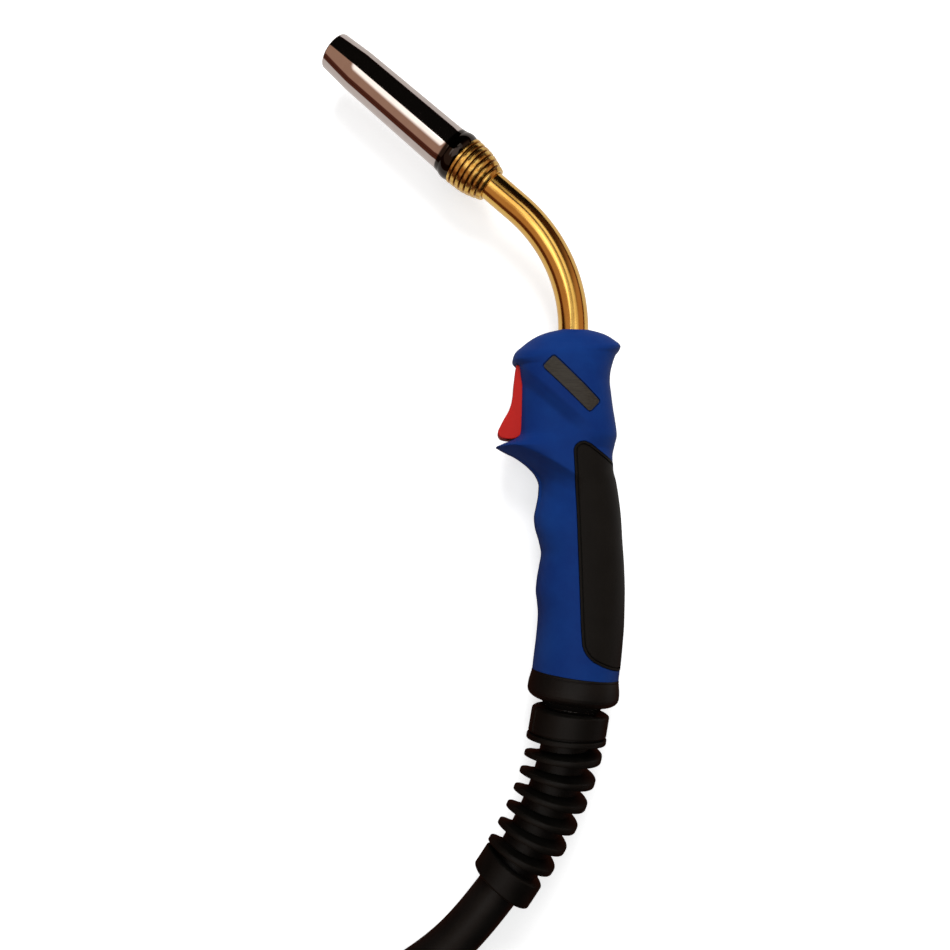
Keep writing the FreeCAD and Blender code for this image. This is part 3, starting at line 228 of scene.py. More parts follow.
room_seen = add_node(tree, "ShaderNodeBackground", {"Strength": 1.0}, {"Color": room_tone})
room_light = add_node(tree, "ShaderNodeBackground", {"Color": (1, 1, 1, 1), "Strength": 0.24})
room_white = add_node(tree, "ShaderNodeBackground", {"Color": (1, 1, 1, 1), "Strength": 1.0})
add_node(tree, "ShaderNodeOutputWorld", {}, {"Surface": seen_by(tree, room_light, room_seen, room_white)})

# Cable. A thick rubber sheath over copper strands, gas hose and wire liner. It leaves the boot in line
# with it, comes down to the bench and is wound up just below the picture in two layers of turns.
cable_diameter = 20.0
boot_start = 4.2
boot_bend_radius = 166.0
boot_bend = 30.0
boot_length = math.radians(boot_bend) * boot_bend_radius
boot_heading = 270.0 - math.degrees(rear_tilt)
boot_centre = rear_axis * -boot_start + heading(boot_heading - 90.0) * boot_bend_radius
exit_angle = boot_heading - boot_bend
cable_exit = boot_centre + heading(exit_angle + 90.0) * boot_bend_radius
bench_z = -rear_point.z / MM
cable_z = bench_z + cable_diameter / 2.0
coil_centre = Vector((-57.8, -271.5, 0.0))
coil_outer_radius = 121.0
coil_step = 21.4
coil_layer_step = 20.7
coil_entry = 128.0
coil_exit = 180.0 + math.degrees(math.atan(coil_step / (2.0 * math.pi) / coil_outer_radius))
coil_turns = 4.0 + (coil_exit - coil_entry) / 360.0
coil_reverse = 0.5
coil_inward = (coil_turns - coil_reverse) / 2.0
points_per_turn = 16
spline_pull = 1.0 / math.cos(math.pi / points_per_turn)


def coil_point(turn, pull):
    """Place on the coil after a number of turns; pull sets the control points a little outside the cable."""
    inner = coil_outer_radius - coil_step * coil_inward
    past = turn - coil_inward
    if past < 0.0:
        radius, climb = coil_outer_radius - coil_step * turn, 0.0
    elif past < coil_reverse:
        share = past / coil_reverse
        radius = inner - coil_step * past + coil_step * past * past / coil_reverse
        climb = share * share * (3.0 - 2.0 * share)
    else:
        radius, climb = inner + coil_step * (past - coil_reverse), 1.0
    around = heading(coil_entry + 360.0 * turn)
    return coil_centre + around * (radius * pull) + Vector((0, 0, cable_z + coil_layer_step * climb))


def coil_heading(turn):
    """Unit heading of the coil at a number of turns."""
    return (coil_point(turn + 1e-4, 1.0) - coil_point(turn - 1e-4, 1.0)).normalized()


lead_in = coil_point(0.0, 1.0) - coil_heading(0.001) * cable_diameter
lead_out = coil_point(coil_turns, 1.0) + coil_heading(coil_turns) * cable_diameter
plug_axis_z = bench_z + 23.0
tail_length, tail_end_run = 84.0, 27.0
tail_end = Vector((lead_out.x, lead_out.y - tail_length, plug_axis_z))
cable_route = [
    cable_exit, cable_exit + heading(exit_angle) * 20.0 + Vector((0, 0, -0.4)), Vector((-59.0, -117.3, -2.8)),
    Vector((-79.5, -132.9, -7.4)), lead_in - coil_heading(0.001) * 22.0, lead_in]
steps = int(round(coil_turns * points_per_turn))
cable_route += [coil_point(coil_turns * i / steps, spline_pull if 0 < i < steps else 1.0)
                for i in range(steps + 1)]
cable_route += [lead_out, Vector((lead_out.x, lead_out.y - tail_end_run, lead_out.z)),
                Vector((lead_out.x, tail_end.y + tail_end_run, plug_axis_z)), tail_end]
cable_curve = bpy.data.curves.new("lead_cable", "CURVE")
cable_curve.dimensions = "3D"
cable_curve.bevel_depth = cable_diameter / 2.0 * MM
cable_curve.bevel_resolution = 14
cable_curve.use_fill_caps = True
cable_line = cable_curve.splines.new("NURBS")
cable_line.points.add(len(cable_route) - 1)
for point, place in zip(cable_line.points, cable_route):
    point.co = (*at(*place), 1.0)
cable_line.order_u = 3
cable_line.use_endpoint_u = True
cable_line.resolution_u = 10
cable = bpy.data.objects.new("lead_cable", cable_curve)
bpy.context.scene.collection.objects.link(cable)


def principled(name, settings):
    """New material with the main shader alone; returns it, its tree and the shader."""
    material = bpy.data.materials.new(name)
    material.use_nodes = True
    tree = material.node_tree
    tree.nodes.clear()
    shader = add_node(tree, "ShaderNodeBsdfPrincipled", settings)
    add_node(tree, "ShaderNodeOutputMaterial", {}, {"Surface": shader.outputs[0]})
    return material, tree, shader


def mottle(tree, shader, width, patches, tones=None, polish=None, grain=None, place=None):
    """Runs a shader's colour between two tones, and its roughness between two values, over soft patches of a
    width in millimetres; grain is the width, detail, strength and depth of its relief. Returns the colour."""
    if place is None:
        place = add_node(tree, "ShaderNodeTexCoord").outputs["Object"]
    patch = add_node(tree, "ShaderNodeTexNoise", {"Scale": 1.0 / (width * MM), **patches}, {"Vector": place})
    tone = None
    if tones:
        ramp = add_node(tree, "ShaderNodeValToRGB", {}, {"Fac": patch.outputs["Fac"]})
        for stop, (position, code) in zip(ramp.color_ramp.elements, tones):
            stop.position = position
            stop.color = colour(code)
        tone = ramp.outputs["Color"]
        tree.links.new(tone, shader.inputs["Base Color"])
    if polish:
        sheen = add_node(tree, "ShaderNodeMapRange", {"To Min": polish[0], "To Max": polish[1]},
                         {"Value": patch.outputs["Fac"]})
        tree.links.new(sheen.outputs[0], shader.inputs["Roughness"])
    if grain:
        grain_width, detail, strength, depth = grain
        fine = add_node(tree, "ShaderNodeTexNoise", {"Scale": 1.0 / (grain_width * MM), "Detail": detail},
                        {"Vector": place})
        relief = add_node(tree, "ShaderNodeBump", {"Strength": strength, "Distance": depth * MM},
                          {"Height": fine.outputs["Fac"]})
        tree.links.new(relief.outputs[0], shader.inputs["Normal"])
    return tone


# Chloroprene sheath, extruded and dusted with talc: nearly black, with a soft sheen and faint scuffs.
cable_sheath, tree, shader = principled("extruded_chloroprene", {"IOR": 1.52, "Specular IOR Level": 0.18})
mottle(tree, shader, 16.67, {"Detail": 6.0, "Roughness": 0.7}, ((0.35, "#0b0a09"), (0.75, "#141210")),
       (0.36, 0.55), (1.1, 3.0, 0.16, 0.06))

cable_curve.materials.append(cable_sheath)
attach(cable, "lead")
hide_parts("cable", "cable_coil", "cable_tail")


def shade(data, material, sharp):
    """Gives a mesh its one finish, and smooth shading up to an angle."""
    for polygon in data.polygons:
        polygon.use_smooth = True
    data.set_sharp_from_angle(angle=math.radians(sharp))
    data.materials.clear()
    data.materials.append(material)


def mesh_piece(name, points, faces, material, body, replaced=(), sharp=32.0):
    """Mesh from points in millimetres about the rear point, shaded smooth up to an angle, on its body."""
    data = bpy.data.meshes.new(name)
    origin = np.array(rear_point)
    data.from_pydata((np.asarray(points, float) * MM + origin).tolist(), [], [tuple(f) for f in faces])
    data.validate()
    shade(data, material, sharp)
    piece = bpy.data.objects.new(name, data)
    bpy.context.scene.collection.objects.link(piece)
    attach(piece, body)
    if replaced:
        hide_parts(*replaced)


def ring_faces(rings, around, closed):
    """Quads between successive rings of points, and back to the first if closed, or else two flat ends."""
    faces = []
    for i in range(rings if closed else rings - 1):
        a, b = i * around, ((i + 1) % rings) * around
        for j in range(around):
            k = (j + 1) % around
            faces.append((a + j, a + k, b + k, b + j))
    if not closed:
        faces += [tuple(reversed(range(around))), tuple(range((rings - 1) * around, rings * around))]
    return faces


# Boot. A bent sleeve of soft rubber that guides the cable: a collar with a moulding seam, a groove and a
# rim, then one spiral flange of six turns that gets narrower, and a plain end collar.
collar_length, groove_length, rim_length = 11.8, 0.75, 2.9
collar_radius, rim_radius, core_radius = 18.0, 18.4, 11.2
end_collar_length, end_collar_radius = 11.5, 15.3
flange_pitch, flange_turns, flange_rim, flange_foot = 9.68, 6.25, 2.9, 1.9
flange_start, flange_first, flange_last = 19.1, 17.7, 15.9
boot_bore, boot_dish_radius = 10.05, 16.4
boot_throat_depth, boot_throat_radius = 7.0, 12.1
boot_mouth_depth, boot_mouth_radius = 3.2, 12.6
boot_straight, boot_sag, boot_steps = 14.5, 1.25, 400
seam_turn, seam_depth, rim_lean = 157.5, 0.6, 1.8
rim_start = collar_length + groove_length
rim_end = rim_start + rim_length


def boot_turn(along):
    """Angle that the boot's axis has turned by: nothing in the collar and most just behind it."""
    share = max(0.0, along - boot_straight) / (boot_length - boot_straight)
    return boot_bend * (1.0 - (1.0 - share) ** 1.5)


boot_places = [rear_axis * -boot_start]
for i in range(boot_steps):
    ahead_angle = boot_heading - boot_turn(boot_length * (i + 0.5) / boot_steps)
    boot_places.append(boot_places[-1] + heading(ahead_angle) * (boot_length / boot_steps))
end_gap = cable_exit - boot_places[-1]
for i in range(boot_steps + 1):
    share = i / boot_steps
    inside = heading(boot_heading - boot_turn(boot_length * share) - 90.0)
    boot_places[i] = boot_places[i] + end_gap * share + inside * (boot_sag * math.sin(math.pi * share))


def boot_line(along):
    """Place and heading angle on the visible boot's axis, which sags a little to the inside of its bend."""
    place = boot_steps * along / boot_length
    i = min(boot_steps - 1, max(0, int(place)))
    return boot_places[i].lerp(boot_places[i + 1], place - i), boot_heading - boot_turn(along)


def core_outline(along):
    """Radius of the boot's core under the flange."""
    return core_radius - 0.4 * (along - rim_end) / (boot_length - end_collar_length - rim_end)


def boot_radius(along):
    """Outer radius of the boot's body, without its flange, at a distance along it."""
    if along < collar_length:
        edge = max(0.0, 1.6 - along) / 1.6
        tail = max(0.0, along - collar_length + 0.35) / 0.35
        return collar_radius - 1.5 * edge * edge - 0.3 * tail * tail
    if along < rim_start:
        return rim_radius - 1.7
    if along < rim_end:
        edge = abs(2.0 * (along - rim_start) / rim_length - 1.0)
        return rim_radius - 0.55 * edge ** 6
    end_edge = boot_length - end_collar_length
    if along > end_edge:
        inside = min(along - end_edge, boot_length - along)
        return end_collar_radius - 0.9 * max(0.0, 1.0 - inside / 1.0) ** 2
    return core_outline(along)


def boot_point(along, radius, turn):
    """Place at a distance along the boot, a radius and a turn about it in degrees, zero at its back."""
    centre, angle = boot_line(along)
    around = math.radians(turn)
    return tuple(centre + heading(angle + 90.0) * (radius * math.cos(around))
                 + Vector((0, 0, radius * math.sin(around))))


boot_around, boot_stations, bore_stations = 144, 320, 24
boot_points = []
boot_rings = [(boot_length * i / boot_stations, boot_radius(boot_length * i / boot_stations))
              for i in range(boot_stations + 1)]
boot_rings += [(boot_length - (boot_length - boot_throat_depth) * i / bore_stations, boot_bore)
               for i in range(bore_stations + 1)]
boot_rings += [(boot_throat_depth, boot_throat_radius), (boot_mouth_depth, boot_mouth_radius),
               (0.0, boot_dish_radius)]
for along, radius in boot_rings:
    for j in range(boot_around):
        turn = 360.0 * j / boot_around
        notch = seam_depth if along < collar_length and radius > 16.5 and abs(turn - seam_turn) < 1.0 else 0.0
        hill = min(1.0, along / 8.0) * min(1.0, max(0.0, (rim_end + 5.0 - along) / 4.0))
        back = 0.5 + 0.5 * math.cos(math.radians(turn))
        boot_points.append(boot_point(along - rim_lean * hill * back, radius - notch, turn))
flange_from, flange_to = -90.0, (flange_turns - 0.25) * 360.0
flange_rounds = int((flange_to - flange_from) / 3.0)
flange_points = []
for i in range(flange_rounds + 1):
    wound = flange_from + (flange_to - flange_from) * i / flange_rounds
    middle = flange_start + flange_pitch * wound / 360.0
    core = core_outline(middle)
    rise = min(1.0, (wound - flange_from) / 40.0, (flange_to - wound) / 40.0)
    top = flange_first + (flange_last - flange_first) * (wound - flange_from) / (flange_to - flange_from)
    top = core - 0.3 + (top - core + 0.3) * math.sin(rise * math.pi / 2.0)
    half = flange_rim / 2.0
    front = middle - half
    for along, radius in ((front - flange_foot, core - 0.6), (front - flange_foot, core - 0.1),
                          (front - 0.45, top - 0.35 * (top - core)), (front - 0.15, top - 0.5),
                          (front + 0.1, top - 0.15), (front + 0.4, top), (middle, top + 0.06),
                          (middle + half - 0.35, top), (middle + half - 0.08, top - 0.15),
                          (middle + half + 0.05, top - 0.45), (middle + half + 0.5, core),
                          (middle + half + 0.6, core - 0.6)):
        flange_points.append(boot_point(along, max(radius, core - 0.6), wound))
flange_sides = len(flange_points) // (flange_rounds + 1)
flange_faces = ring_faces(flange_rounds + 1, flange_sides, False)

# Moulded rubber: black with a brown cast, satin, with flow marks a few millimetres wide and a fine grain.
boot_rubber, tree, shader = principled("moulded_nitrile_rubber", {"IOR": 1.52, "Specular IOR Level": 0.16})
mottle(tree, shader, 9.0, {"Detail": 5.0, "Roughness": 0.62}, ((0.3, "#060504"), (0.72, "#0c0b09")),
       (0.38, 0.6), (0.7, 2.0, 0.2, 0.05))
mesh_piece("bend_relief_boot", boot_points, ring_faces(len(boot_rings), boot_around, True), boot_rubber,
           "lead", ("boot",), 40.0)
mesh_piece("bend_relief_flange", flange_points, flange_faces, boot_rubber, "lead", (), 40.0)
sleeve_start, sleeve_rings, sleeve_around = 3.6, 41, 72
sleeve_step = (boot_length - sleeve_start) / (sleeve_rings - 1)
sleeve_points = [boot_point(sleeve_start + sleeve_step * i, cable_diameter / 2.0, 360.0 * j / sleeve_around)
                 for i in range(sleeve_rings) for j in range(sleeve_around)]
mesh_piece("cable_inside_boot", sleeve_points, ring_faces(sleeve_rings, sleeve_around, False), cable_sheath,
           "lead", ("cable_in_boot",), 40.0)


def eased(profile, ease, steps=3):
    """Profile of (along, radius) points with every corner rounded by up to an ease."""
    result = []
    count = len(profile)
    for i in range(count):
        before, here, after = (Vector(profile[(i + k) % count]) for k in (-1, 0, 1))
        into, out = here - before, after - here
        if into.length < 1e-6 or out.length < 1e-6 or into.angle(out) < 0.12 or here.y == 0.0:
            result.append(tuple(here))
            continue
        reach = min(ease, 0.4 * into.length, 0.4 * out.length)
        start, end = here - into.normalized() * reach, here + out.normalized() * reach
        for k in range(steps + 1):
            t = k / steps
            result.append(tuple(start.lerp(here, t).lerp(here.lerp(end, t), t)))
    return result


def ring_points(centre, angle, radius, around):
    """Ring of points round an axis that runs at an angle in the middle plane."""
    across = heading(angle - 90.0)
    turns = [2.0 * math.pi * j / around for j in range(around)]
    return [centre + across * (radius * math.cos(turn)) + Vector((0, 0, radius * math.sin(turn)))
            for turn in turns]


def turned(name, profile, origin, angle, material, body, replaced, around=128, sharp=32.0):
    """Lathe-turned piece from a closed profile of (along, radius) about an axis in the middle plane."""
    points = []
    for along, radius in profile:
        points += ring_points(Vector(origin) + heading(angle) * along, angle, radius, around)
    mesh_piece(name, points, ring_faces(len(profile), around, True), material, body, replaced, sharp)


# Ball and collar ring. The ring screws on the handle's rear and holds a hollow nylon ball, which lets the
# cable swivel. The ring is moulded in black glass-filled nylon with a rounded rear edge.
ring_radius, ball_radius, ball_neck_radius = 21.3, 16.0, 11.9
rear_angle = 90.0 - math.degrees(rear_tilt)
ball_profile = [(ball_from_rear + ball_radius * math.cos(a), ball_radius * math.sin(a))
                for a in (math.radians(29.0 + 103.0 * i / 40.0) for i in range(41))]
ball_profile += [(-3.4 + 0.75 * math.cos(a), ball_neck_radius + 0.3 + 0.75 * math.sin(a))
                 for a in (math.radians(-20.0 + 220.0 * i / 12.0) for i in range(13))]
ball_profile += [(-9.5, ball_neck_radius), (-9.5, 10.13), (20.0, 10.13)]
lip = math.sqrt((ball_radius + 0.1) ** 2 - 6.5 ** 2)
ring_profile = [
    (12.1, 18.95), (12.1, 20.3), (11.3, 20.45), (10.9, 20.25), (10.5, 20.5), (9.0, 20.75), (7.2, 21.1),
    (5.4, 21.28), (3.4, ring_radius), (2.1, 20.95), (1.0, 20.1), (0.1, 18.8), (-0.4, 17.6), (-0.5, 16.8),
    (-0.5, lip), (2.6, 15.72), (3.0, 15.9), (3.0, 18.95)]

# Black glass-filled nylon: matt, with a faint brown cast and a fine moulded grain.
ring_nylon, tree, shader = principled("moulded_black_nylon", {"Roughness": 0.5, "IOR": 1.53,
                                                              "Specular IOR Level": 0.2})
mottle(tree, shader, 6.0, {"Detail": 4.0}, ((0.0, "#080706"), (1.0, "#0f0d0b")),
       grain=(0.35, 2.0, 0.25, 0.04))

# Polished nylon of the ball: smooth, dark and wet-looking, so that its edge shows as a thin bright arc.
ball_nylon, tree, shader = principled("polished_black_nylon", {"Base Color": colour("#171412"), "IOR": 1.53,
                                                               "Specular IOR Level": 1.0, "Coat Weight": 1.0,
                                                               "Coat Roughness": 0.06})
mottle(tree, shader, 2.0, {"Detail": 6.0}, polish=(0.08, 0.3))

turned("collar_ring_turned", eased(ring_profile, 0.25), (0, 0, 0), rear_angle, ring_nylon, "torch",
       ("collar_ring",))
turned("swivel_ball", ball_profile, (0, 0, 0), rear_angle, ball_nylon, "lead", ("ball",))

# Neck. A bent brass tube, drawn, polished and clear-lacquered, with an insulated core inside. Its tail
# runs into the handle and its front end sits in the finned head.
neck_x, mouth_y, neck_radius = -2.5, 174.5, 7.25
neck_bend, neck_bend_radius, neck_straight = 50.0, 78.5, 17.2
neck_tail, neck_socket, neck_wall = 52.0, 4.0, 0.95
neck_angle = 90.0 + neck_bend
neck_forward = heading(neck_angle)
neck_reach = neck_bend_radius * math.tan(math.radians(neck_bend / 2.0))
head_rear = Vector((neck_x, mouth_y + neck_reach, 0)) + neck_forward * (neck_reach + neck_straight)


def neck_axis(along):
    """Place and heading angle on the neck's axis, at a distance from the handle's mouth."""
    bend_length = math.radians(neck_bend) * neck_bend_radius
    if along < 0.0:
        return Vector((neck_x, mouth_y + along, 0)), 90.0
    if along > bend_length:
        return head_rear + neck_forward * (along - bend_length - neck_straight), neck_angle
    turn = math.degrees(along / neck_bend_radius)
    centre = Vector((neck_x - neck_bend_radius, mouth_y, 0))
    return centre + heading(turn) * neck_bend_radius, 90.0 + turn


neck_front = math.radians(neck_bend) * neck_bend_radius + neck_straight + neck_socket
neck_around, neck_steps = 96, 120
neck_stations = [(neck_front + neck_tail) * i / neck_steps - neck_tail for i in range(neck_steps + 1)]
neck_points = []
for stations, radius in ((neck_stations, neck_radius), (reversed(neck_stations), neck_radius - neck_wall)):
    for along in stations:
        neck_points += ring_points(*neck_axis(along), radius, neck_around)


# Polished brass under lacquer: warm yellow where it mirrors light and deep brown where it mirrors the
# room, with fine drawing lines and a little ripple from the bending.
polished_brass, tree, shader = principled("lacquered_brass", {"Metallic": 1.0, "Coat Weight": 0.2,
                                                              "Coat Roughness": 0.08})
mottle(tree, shader, 14.0, {"Detail": 5.0}, ((0.3, "#dcaa50"), (0.7, "#ecc266")), (0.1, 0.2),
       (3.2, 2.0, 0.12, 0.08))

neck_faces = ring_faces(2 * (neck_steps + 1), neck_around, True)
mesh_piece("neck_outer_tube", neck_points, neck_faces, polished_brass, "torch",
           ("neck_jacket",), 40.0)

# Head. Turned from brass bar: thin fins that shed heat, and a plain spigot in front on which the nozzle
# sits. The fins grow from the neck's side towards the nozzle.
head_length, head_front_radius, head_rear_radius = 18.5, 12.5, 8.8
head_swell, head_cone, head_bore = 0.75, 0.3, 4.3
fin_count, fin_groove, fin_depth = 6, 1.0, 1.7
spigot_radius, spigot_length = 9.2, 12.0
spring_place, spring_groove, spring_groove_radius = 6.0, 0.8, 8.5


def head_outline(along):
    """Outer radius of the head's fins at a distance from its rear: a round swell, then a slight cone."""
    share = along / head_length
    full = head_front_radius - head_cone
    if share < head_swell:
        return head_rear_radius + (full - head_rear_radius) * math.sin(share / head_swell * math.pi / 2)
    return full + head_cone * (share - head_swell) / (1.0 - head_swell)


head_profile = [(0.0, neck_radius + 0.05), (0.0, head_outline(0.0))]
fin_pitch = head_length / (fin_count + 0.5)
for i in range(fin_count):
    start = fin_pitch * (i + 0.7)
    end = start + fin_groove
    floor = max(head_rear_radius - 0.8, head_outline(end) - fin_depth - 0.4)
    head_profile += [(start - 0.75 * (fin_pitch - fin_groove) / 2, head_outline(start - 0.6)),
                     (start, head_outline(start)), (start + 0.1, floor), (end - 0.1, floor),
                     (end, head_outline(end))]
spring_at = head_length + spring_place
groove_rear, groove_front = spring_at - spring_groove, spring_at + spring_groove
head_profile += [(head_length, head_outline(head_length)), (head_length, spigot_radius),
                 (groove_rear, spigot_radius), (groove_rear + 0.1, spring_groove_radius),
                 (groove_front - 0.1, spring_groove_radius), (groove_front, spigot_radius),
                 (head_length + spigot_length, spigot_radius), (head_length + spigot_length, head_bore),
                 (neck_socket, head_bore), (neck_socket, neck_radius + 0.05)]

# Turned brass: the cutter's fine rings catch the light, and painted shade darkens the grooves between the
# fins.
turned_brass, tree, shader = principled("turned_brass", {"Metallic": 1.0})
bright_brass = mottle(tree, shader, 2.2, {"Detail": 6.0, "Roughness": 0.6},
                      ((0.32, "#b57d2e"), (0.6, "#e9c46c")), (0.14, 0.34), (0.9, 3.0, 0.35, 0.08))
# Painted shade: ambient occlusion over 1.2 mm runs the brass towards deep brown in the grooves and corners.
groove_painted_shade = add_node(tree, "ShaderNodeAmbientOcclusion", {"Distance": 1.2 * MM, "samples": 6})
unshaded_share = add_node(tree, "ShaderNodeMapRange", {"From Min": 0.25, "From Max": 0.85, "To Min": 0.25,
                                                 "To Max": 1.0}, {"Value": groove_painted_shade.outputs["AO"]})
shaded = add_node(tree, "ShaderNodeMix", {"data_type": "RGBA", 6: colour("#3a1a0c")},
                  {0: unshaded_share.outputs[0], 7: bright_brass})
tree.links.new(shaded.outputs[2], shader.inputs["Base Color"])
turned("finned_head", eased(head_profile, 0.18, 2), head_rear, neck_angle, turned_brass, "torch",
       ("neck_head",), 128, 28.0)

# Gas nozzle. Drawn copper tube, nickel and chromium plated to a mirror, with a flared collar that slides
# on the head's spigot and a short cone at its tip. An insulating bush is pressed in its rear.
nozzle_length, nozzle_bore, nozzle_tip_radius = 84.0, 8.0, 9.6
nozzle_front_radius, nozzle_cone, nozzle_rear_radius = 10.6, 16.6, 11.4
nozzle_collar_radius, nozzle_collar_length, nozzle_gap = 12.6, 9.4, 0.3
bush_bore, bush_wall, bush_length = 9.95, 0.9, 9.5
head_front = head_rear + neck_forward * head_length
nozzle_origin = head_front + neck_forward * nozzle_gap
cone_start = nozzle_length - nozzle_cone
nozzle_flare, flare_past, nozzle_barrel = 3.4, 1.4, 0.75
flare_end = nozzle_collar_length + flare_past


def collar_outline(along):
    """Outer radius of the nozzle's rear: a barrel-shaped collar that runs into the body in a soft flare."""
    barrel_end = nozzle_collar_length - nozzle_flare
    if along < barrel_end:
        share = 2.0 * along / barrel_end - 1.0
        return nozzle_collar_radius - nozzle_barrel * share * share
    share = (along - barrel_end) / (nozzle_flare + flare_past)
    start = nozzle_collar_radius - nozzle_barrel
    return start + (nozzle_rear_radius - start) * math.sin(share * math.pi / 2.0) ** 1.3


nozzle_profile = [(0.0, bush_bore + bush_wall)]
nozzle_profile += [(flare_end * i / 36.0, collar_outline(flare_end * i / 36.0)) for i in range(37)]
nozzle_profile += [
    (cone_start - 1.2, nozzle_front_radius + 0.02), (cone_start, nozzle_front_radius),
    (cone_start + 1.2, nozzle_front_radius - 0.05), (nozzle_length - 0.7, nozzle_tip_radius),
    (nozzle_length - 0.2, nozzle_tip_radius - 0.2), (nozzle_length, nozzle_tip_radius - 0.7),
    (nozzle_length, nozzle_bore + 0.25), (nozzle_length - 0.25, nozzle_bore), (cone_start + 1.5, nozzle_bore),
    (cone_start, nozzle_front_radius - 1.4), (bush_length + 1.0, 9.65), (bush_length, bush_bore + bush_wall)]

# Chromium over nickel: a clear, faintly pink mirror with barely any ripple. The collar's colour is darkened
# to paint the dark reflections that show on it.
chrome, tree, shader = principled("chromium_plate", {"Metallic": 1.0})
clean_chrome = mottle(tree, shader, 5.0, {"Detail": 5.0}, ((0.0, "#bdb2ae"), (1.0, "#cdc4c0")), (0.035, 0.1),
                      (7.0, 1.0, 0.06, 0.1))
place = add_node(tree, "ShaderNodeTexCoord")
ahead_of_rear = add_node(tree, "ShaderNodeVectorMath", {"operation": "DOT_PRODUCT", 1: tuple(neck_forward)},
                         {0: place.outputs["Object"]})
# Painted dark reflection: the chrome turns dark grey behind a line a little short of the collar's front.
collar_front, painted_dark_edge = at(*nozzle_origin).dot(neck_forward) + (nozzle_collar_length - 1.2) * MM, 0.5 * MM
painted_dark_share = soft_mask(tree, [(ahead_of_rear.outputs["Value"], collar_front + painted_dark_edge,
                                collar_front - painted_dark_edge)])
painted_dark_collar = add_node(tree, "ShaderNodeMix", {"data_type": "RGBA", 7: colour("#35302d")},
                 {0: painted_dark_share, 6: clean_chrome})
tree.links.new(painted_dark_collar.outputs[2], shader.inputs["Base Color"])
turned("gas_nozzle_plated", nozzle_profile, nozzle_origin, neck_angle, chrome, "nozzle",
       ("gas_nozzle",), 160, 50.0)

# Insulating bush, pressed in the nozzle's rear: a short tube of natural glass-filled polymer that keeps
# the nozzle off the live head. Only its rear edge shows, when the nozzle is pulled forward.
bush_polymer, tree, shader = principled("natural_glass_filled_polymer", {"Roughness": 0.62, "IOR": 1.5})
mottle(tree, shader, 0.8, {"Detail": 4.0}, ((0.0, "#a2977f"), (1.0, "#d6cdb4")))
bush_profile = [(0.4, bush_bore), (0.4, bush_bore + bush_wall), (bush_length - 0.05, bush_bore + bush_wall),
                (bush_length - 0.05, bush_bore)]
turned("nozzle_bush", eased(bush_profile, 0.2), nozzle_origin, neck_angle, bush_polymer, "nozzle",
       ("nozzle_insulator",))


# Handle. Two shells of blue nylon, moulded with a fine grain and screwed together on the middle plane.
# The front swells to a rounded head over the neck, a valley and a ridge run across the cheek, and the
# ridge goes out into the guard under the trigger.
def smooth_curve(points, where):
    """Smooth curve without overshoot through (place, value) points, read at many places."""
    points = sorted(points)
    x = np.array([p[0] for p in points])
    y = np.array([p[1] for p in points])
    step = np.diff(x)
    slope = np.diff(y) / step
    ahead, behind = slope[1:], slope[:-1]
    same = ahead * behind > 0.0
    weight_a, weight_b = 2.0 * step[1:] + step[:-1], step[1:] + 2.0 * step[:-1]
    inner = np.zeros(len(ahead))
    inner[same] = (weight_a + weight_b)[same] / (weight_a[same] / behind[same] + weight_b[same] / ahead[same])
    tangent = np.concatenate([[slope[0]], inner, [slope[-1]]])
    where = np.clip(where, x[0], x[-1])
    i = np.clip(np.searchsorted(x, where) - 1, 0, len(step) - 1)
    t = (where - x[i]) / step[i]
    return (y[i] * (1 + 2 * t) * (1 - t) ** 2 + tangent[i] * step[i] * t * (1 - t) ** 2
            + y[i + 1] * t * t * (3 - 2 * t) + tangent[i + 1] * step[i] * t * t * (t - 1))


rear_rim_along, rear_rim_radius = 12.2, 20.2
mouth_crown, mouth_draw = 0.0155, 5.0
guard_top, guard_bottom, seam_edge = 124.0, 106.0, 0.006
rim_middle = rear_axis * rear_rim_along
tilt_start = 27.0
handle_front = [
    (mouth_y, -9.4), (173.9, -11.8), (173.1, -15.0), (171.6, -19.0), (169.2, -23.1), (165.8, -27.2),
    (162.6, -30.4), (161.0, -31.1), (158.6, -31.5), (157.0, -30.3), (155.6, -28.9), (150.4, -28.5),
    (138.8, -28.1), (129.2, -27.7), (125.4, -27.6), (123.4, -27.9), (122.0, -28.9), (120.4, -31.4),
    (118.4, -36.0), (117.2, -38.3), (116.5, -37.2), (114.8, -34.0), (113.0, -30.0), (110.8, -26.4),
    (107.6, -22.4), (104.2, -19.4), (99.5, -17.6), (95.0, -17.8), (90.0, -18.6), (84.3, -19.5), (80.0, -19.0),
    (73.0, -16.9), (67.4, -15.8), (61.8, -16.6), (55.0, -17.6), (50.4, -17.9), (44.8, -17.2), (39.2, -16.7),
    (28.0, -17.4), (tilt_start, -17.5), (rim_middle.y, rim_middle.x - rear_rim_radius)]
handle_back = [
    (mouth_y, 5.9), (174.0, 8.6), (173.2, 11.5), (172.0, 14.4), (170.0, 17.5), (168.3, 19.6), (167.2, 20.2),
    (165.8, 19.8), (163.0, 17.9), (159.0, 16.5), (154.2, 15.4), (150.0, 15.1), (144.0, 15.8), (137.0, 16.8),
    (131.0, 17.9), (124.0, 18.8), (119.5, 17.9), (114.0, 17.0), (108.0, 17.2), (102.3, 18.6), (93.8, 20.1),
    (85.3, 21.2), (74.0, 22.0), (62.7, 22.9), (50.0, 23.4), (36.0, 23.3), (tilt_start, 22.8),
    (rim_middle.y, rim_middle.x + rear_rim_radius)]
handle_width = [
    (mouth_y, 8.8), (171.8, 12.4), (168.6, 14.6), (164.5, 16.2), (159.5, 17.2), (153.0, 17.8), (144.0, 18.2),
    (125.0, 18.0), (110.0, 17.2), (95.0, 17.1), (77.0, 17.7), (58.0, 18.2), (40.0, 19.0), (tilt_start, 19.7),
    (rim_middle.y, rear_rim_radius)]
handle_square = [(mouth_y, 2.0), (164.5, 2.3), (153.0, 2.5), (125.0, 2.5), (103.0, 2.3), (50.0, 2.3),
                 (tilt_start, 2.1), (rim_middle.y, 2.0)]


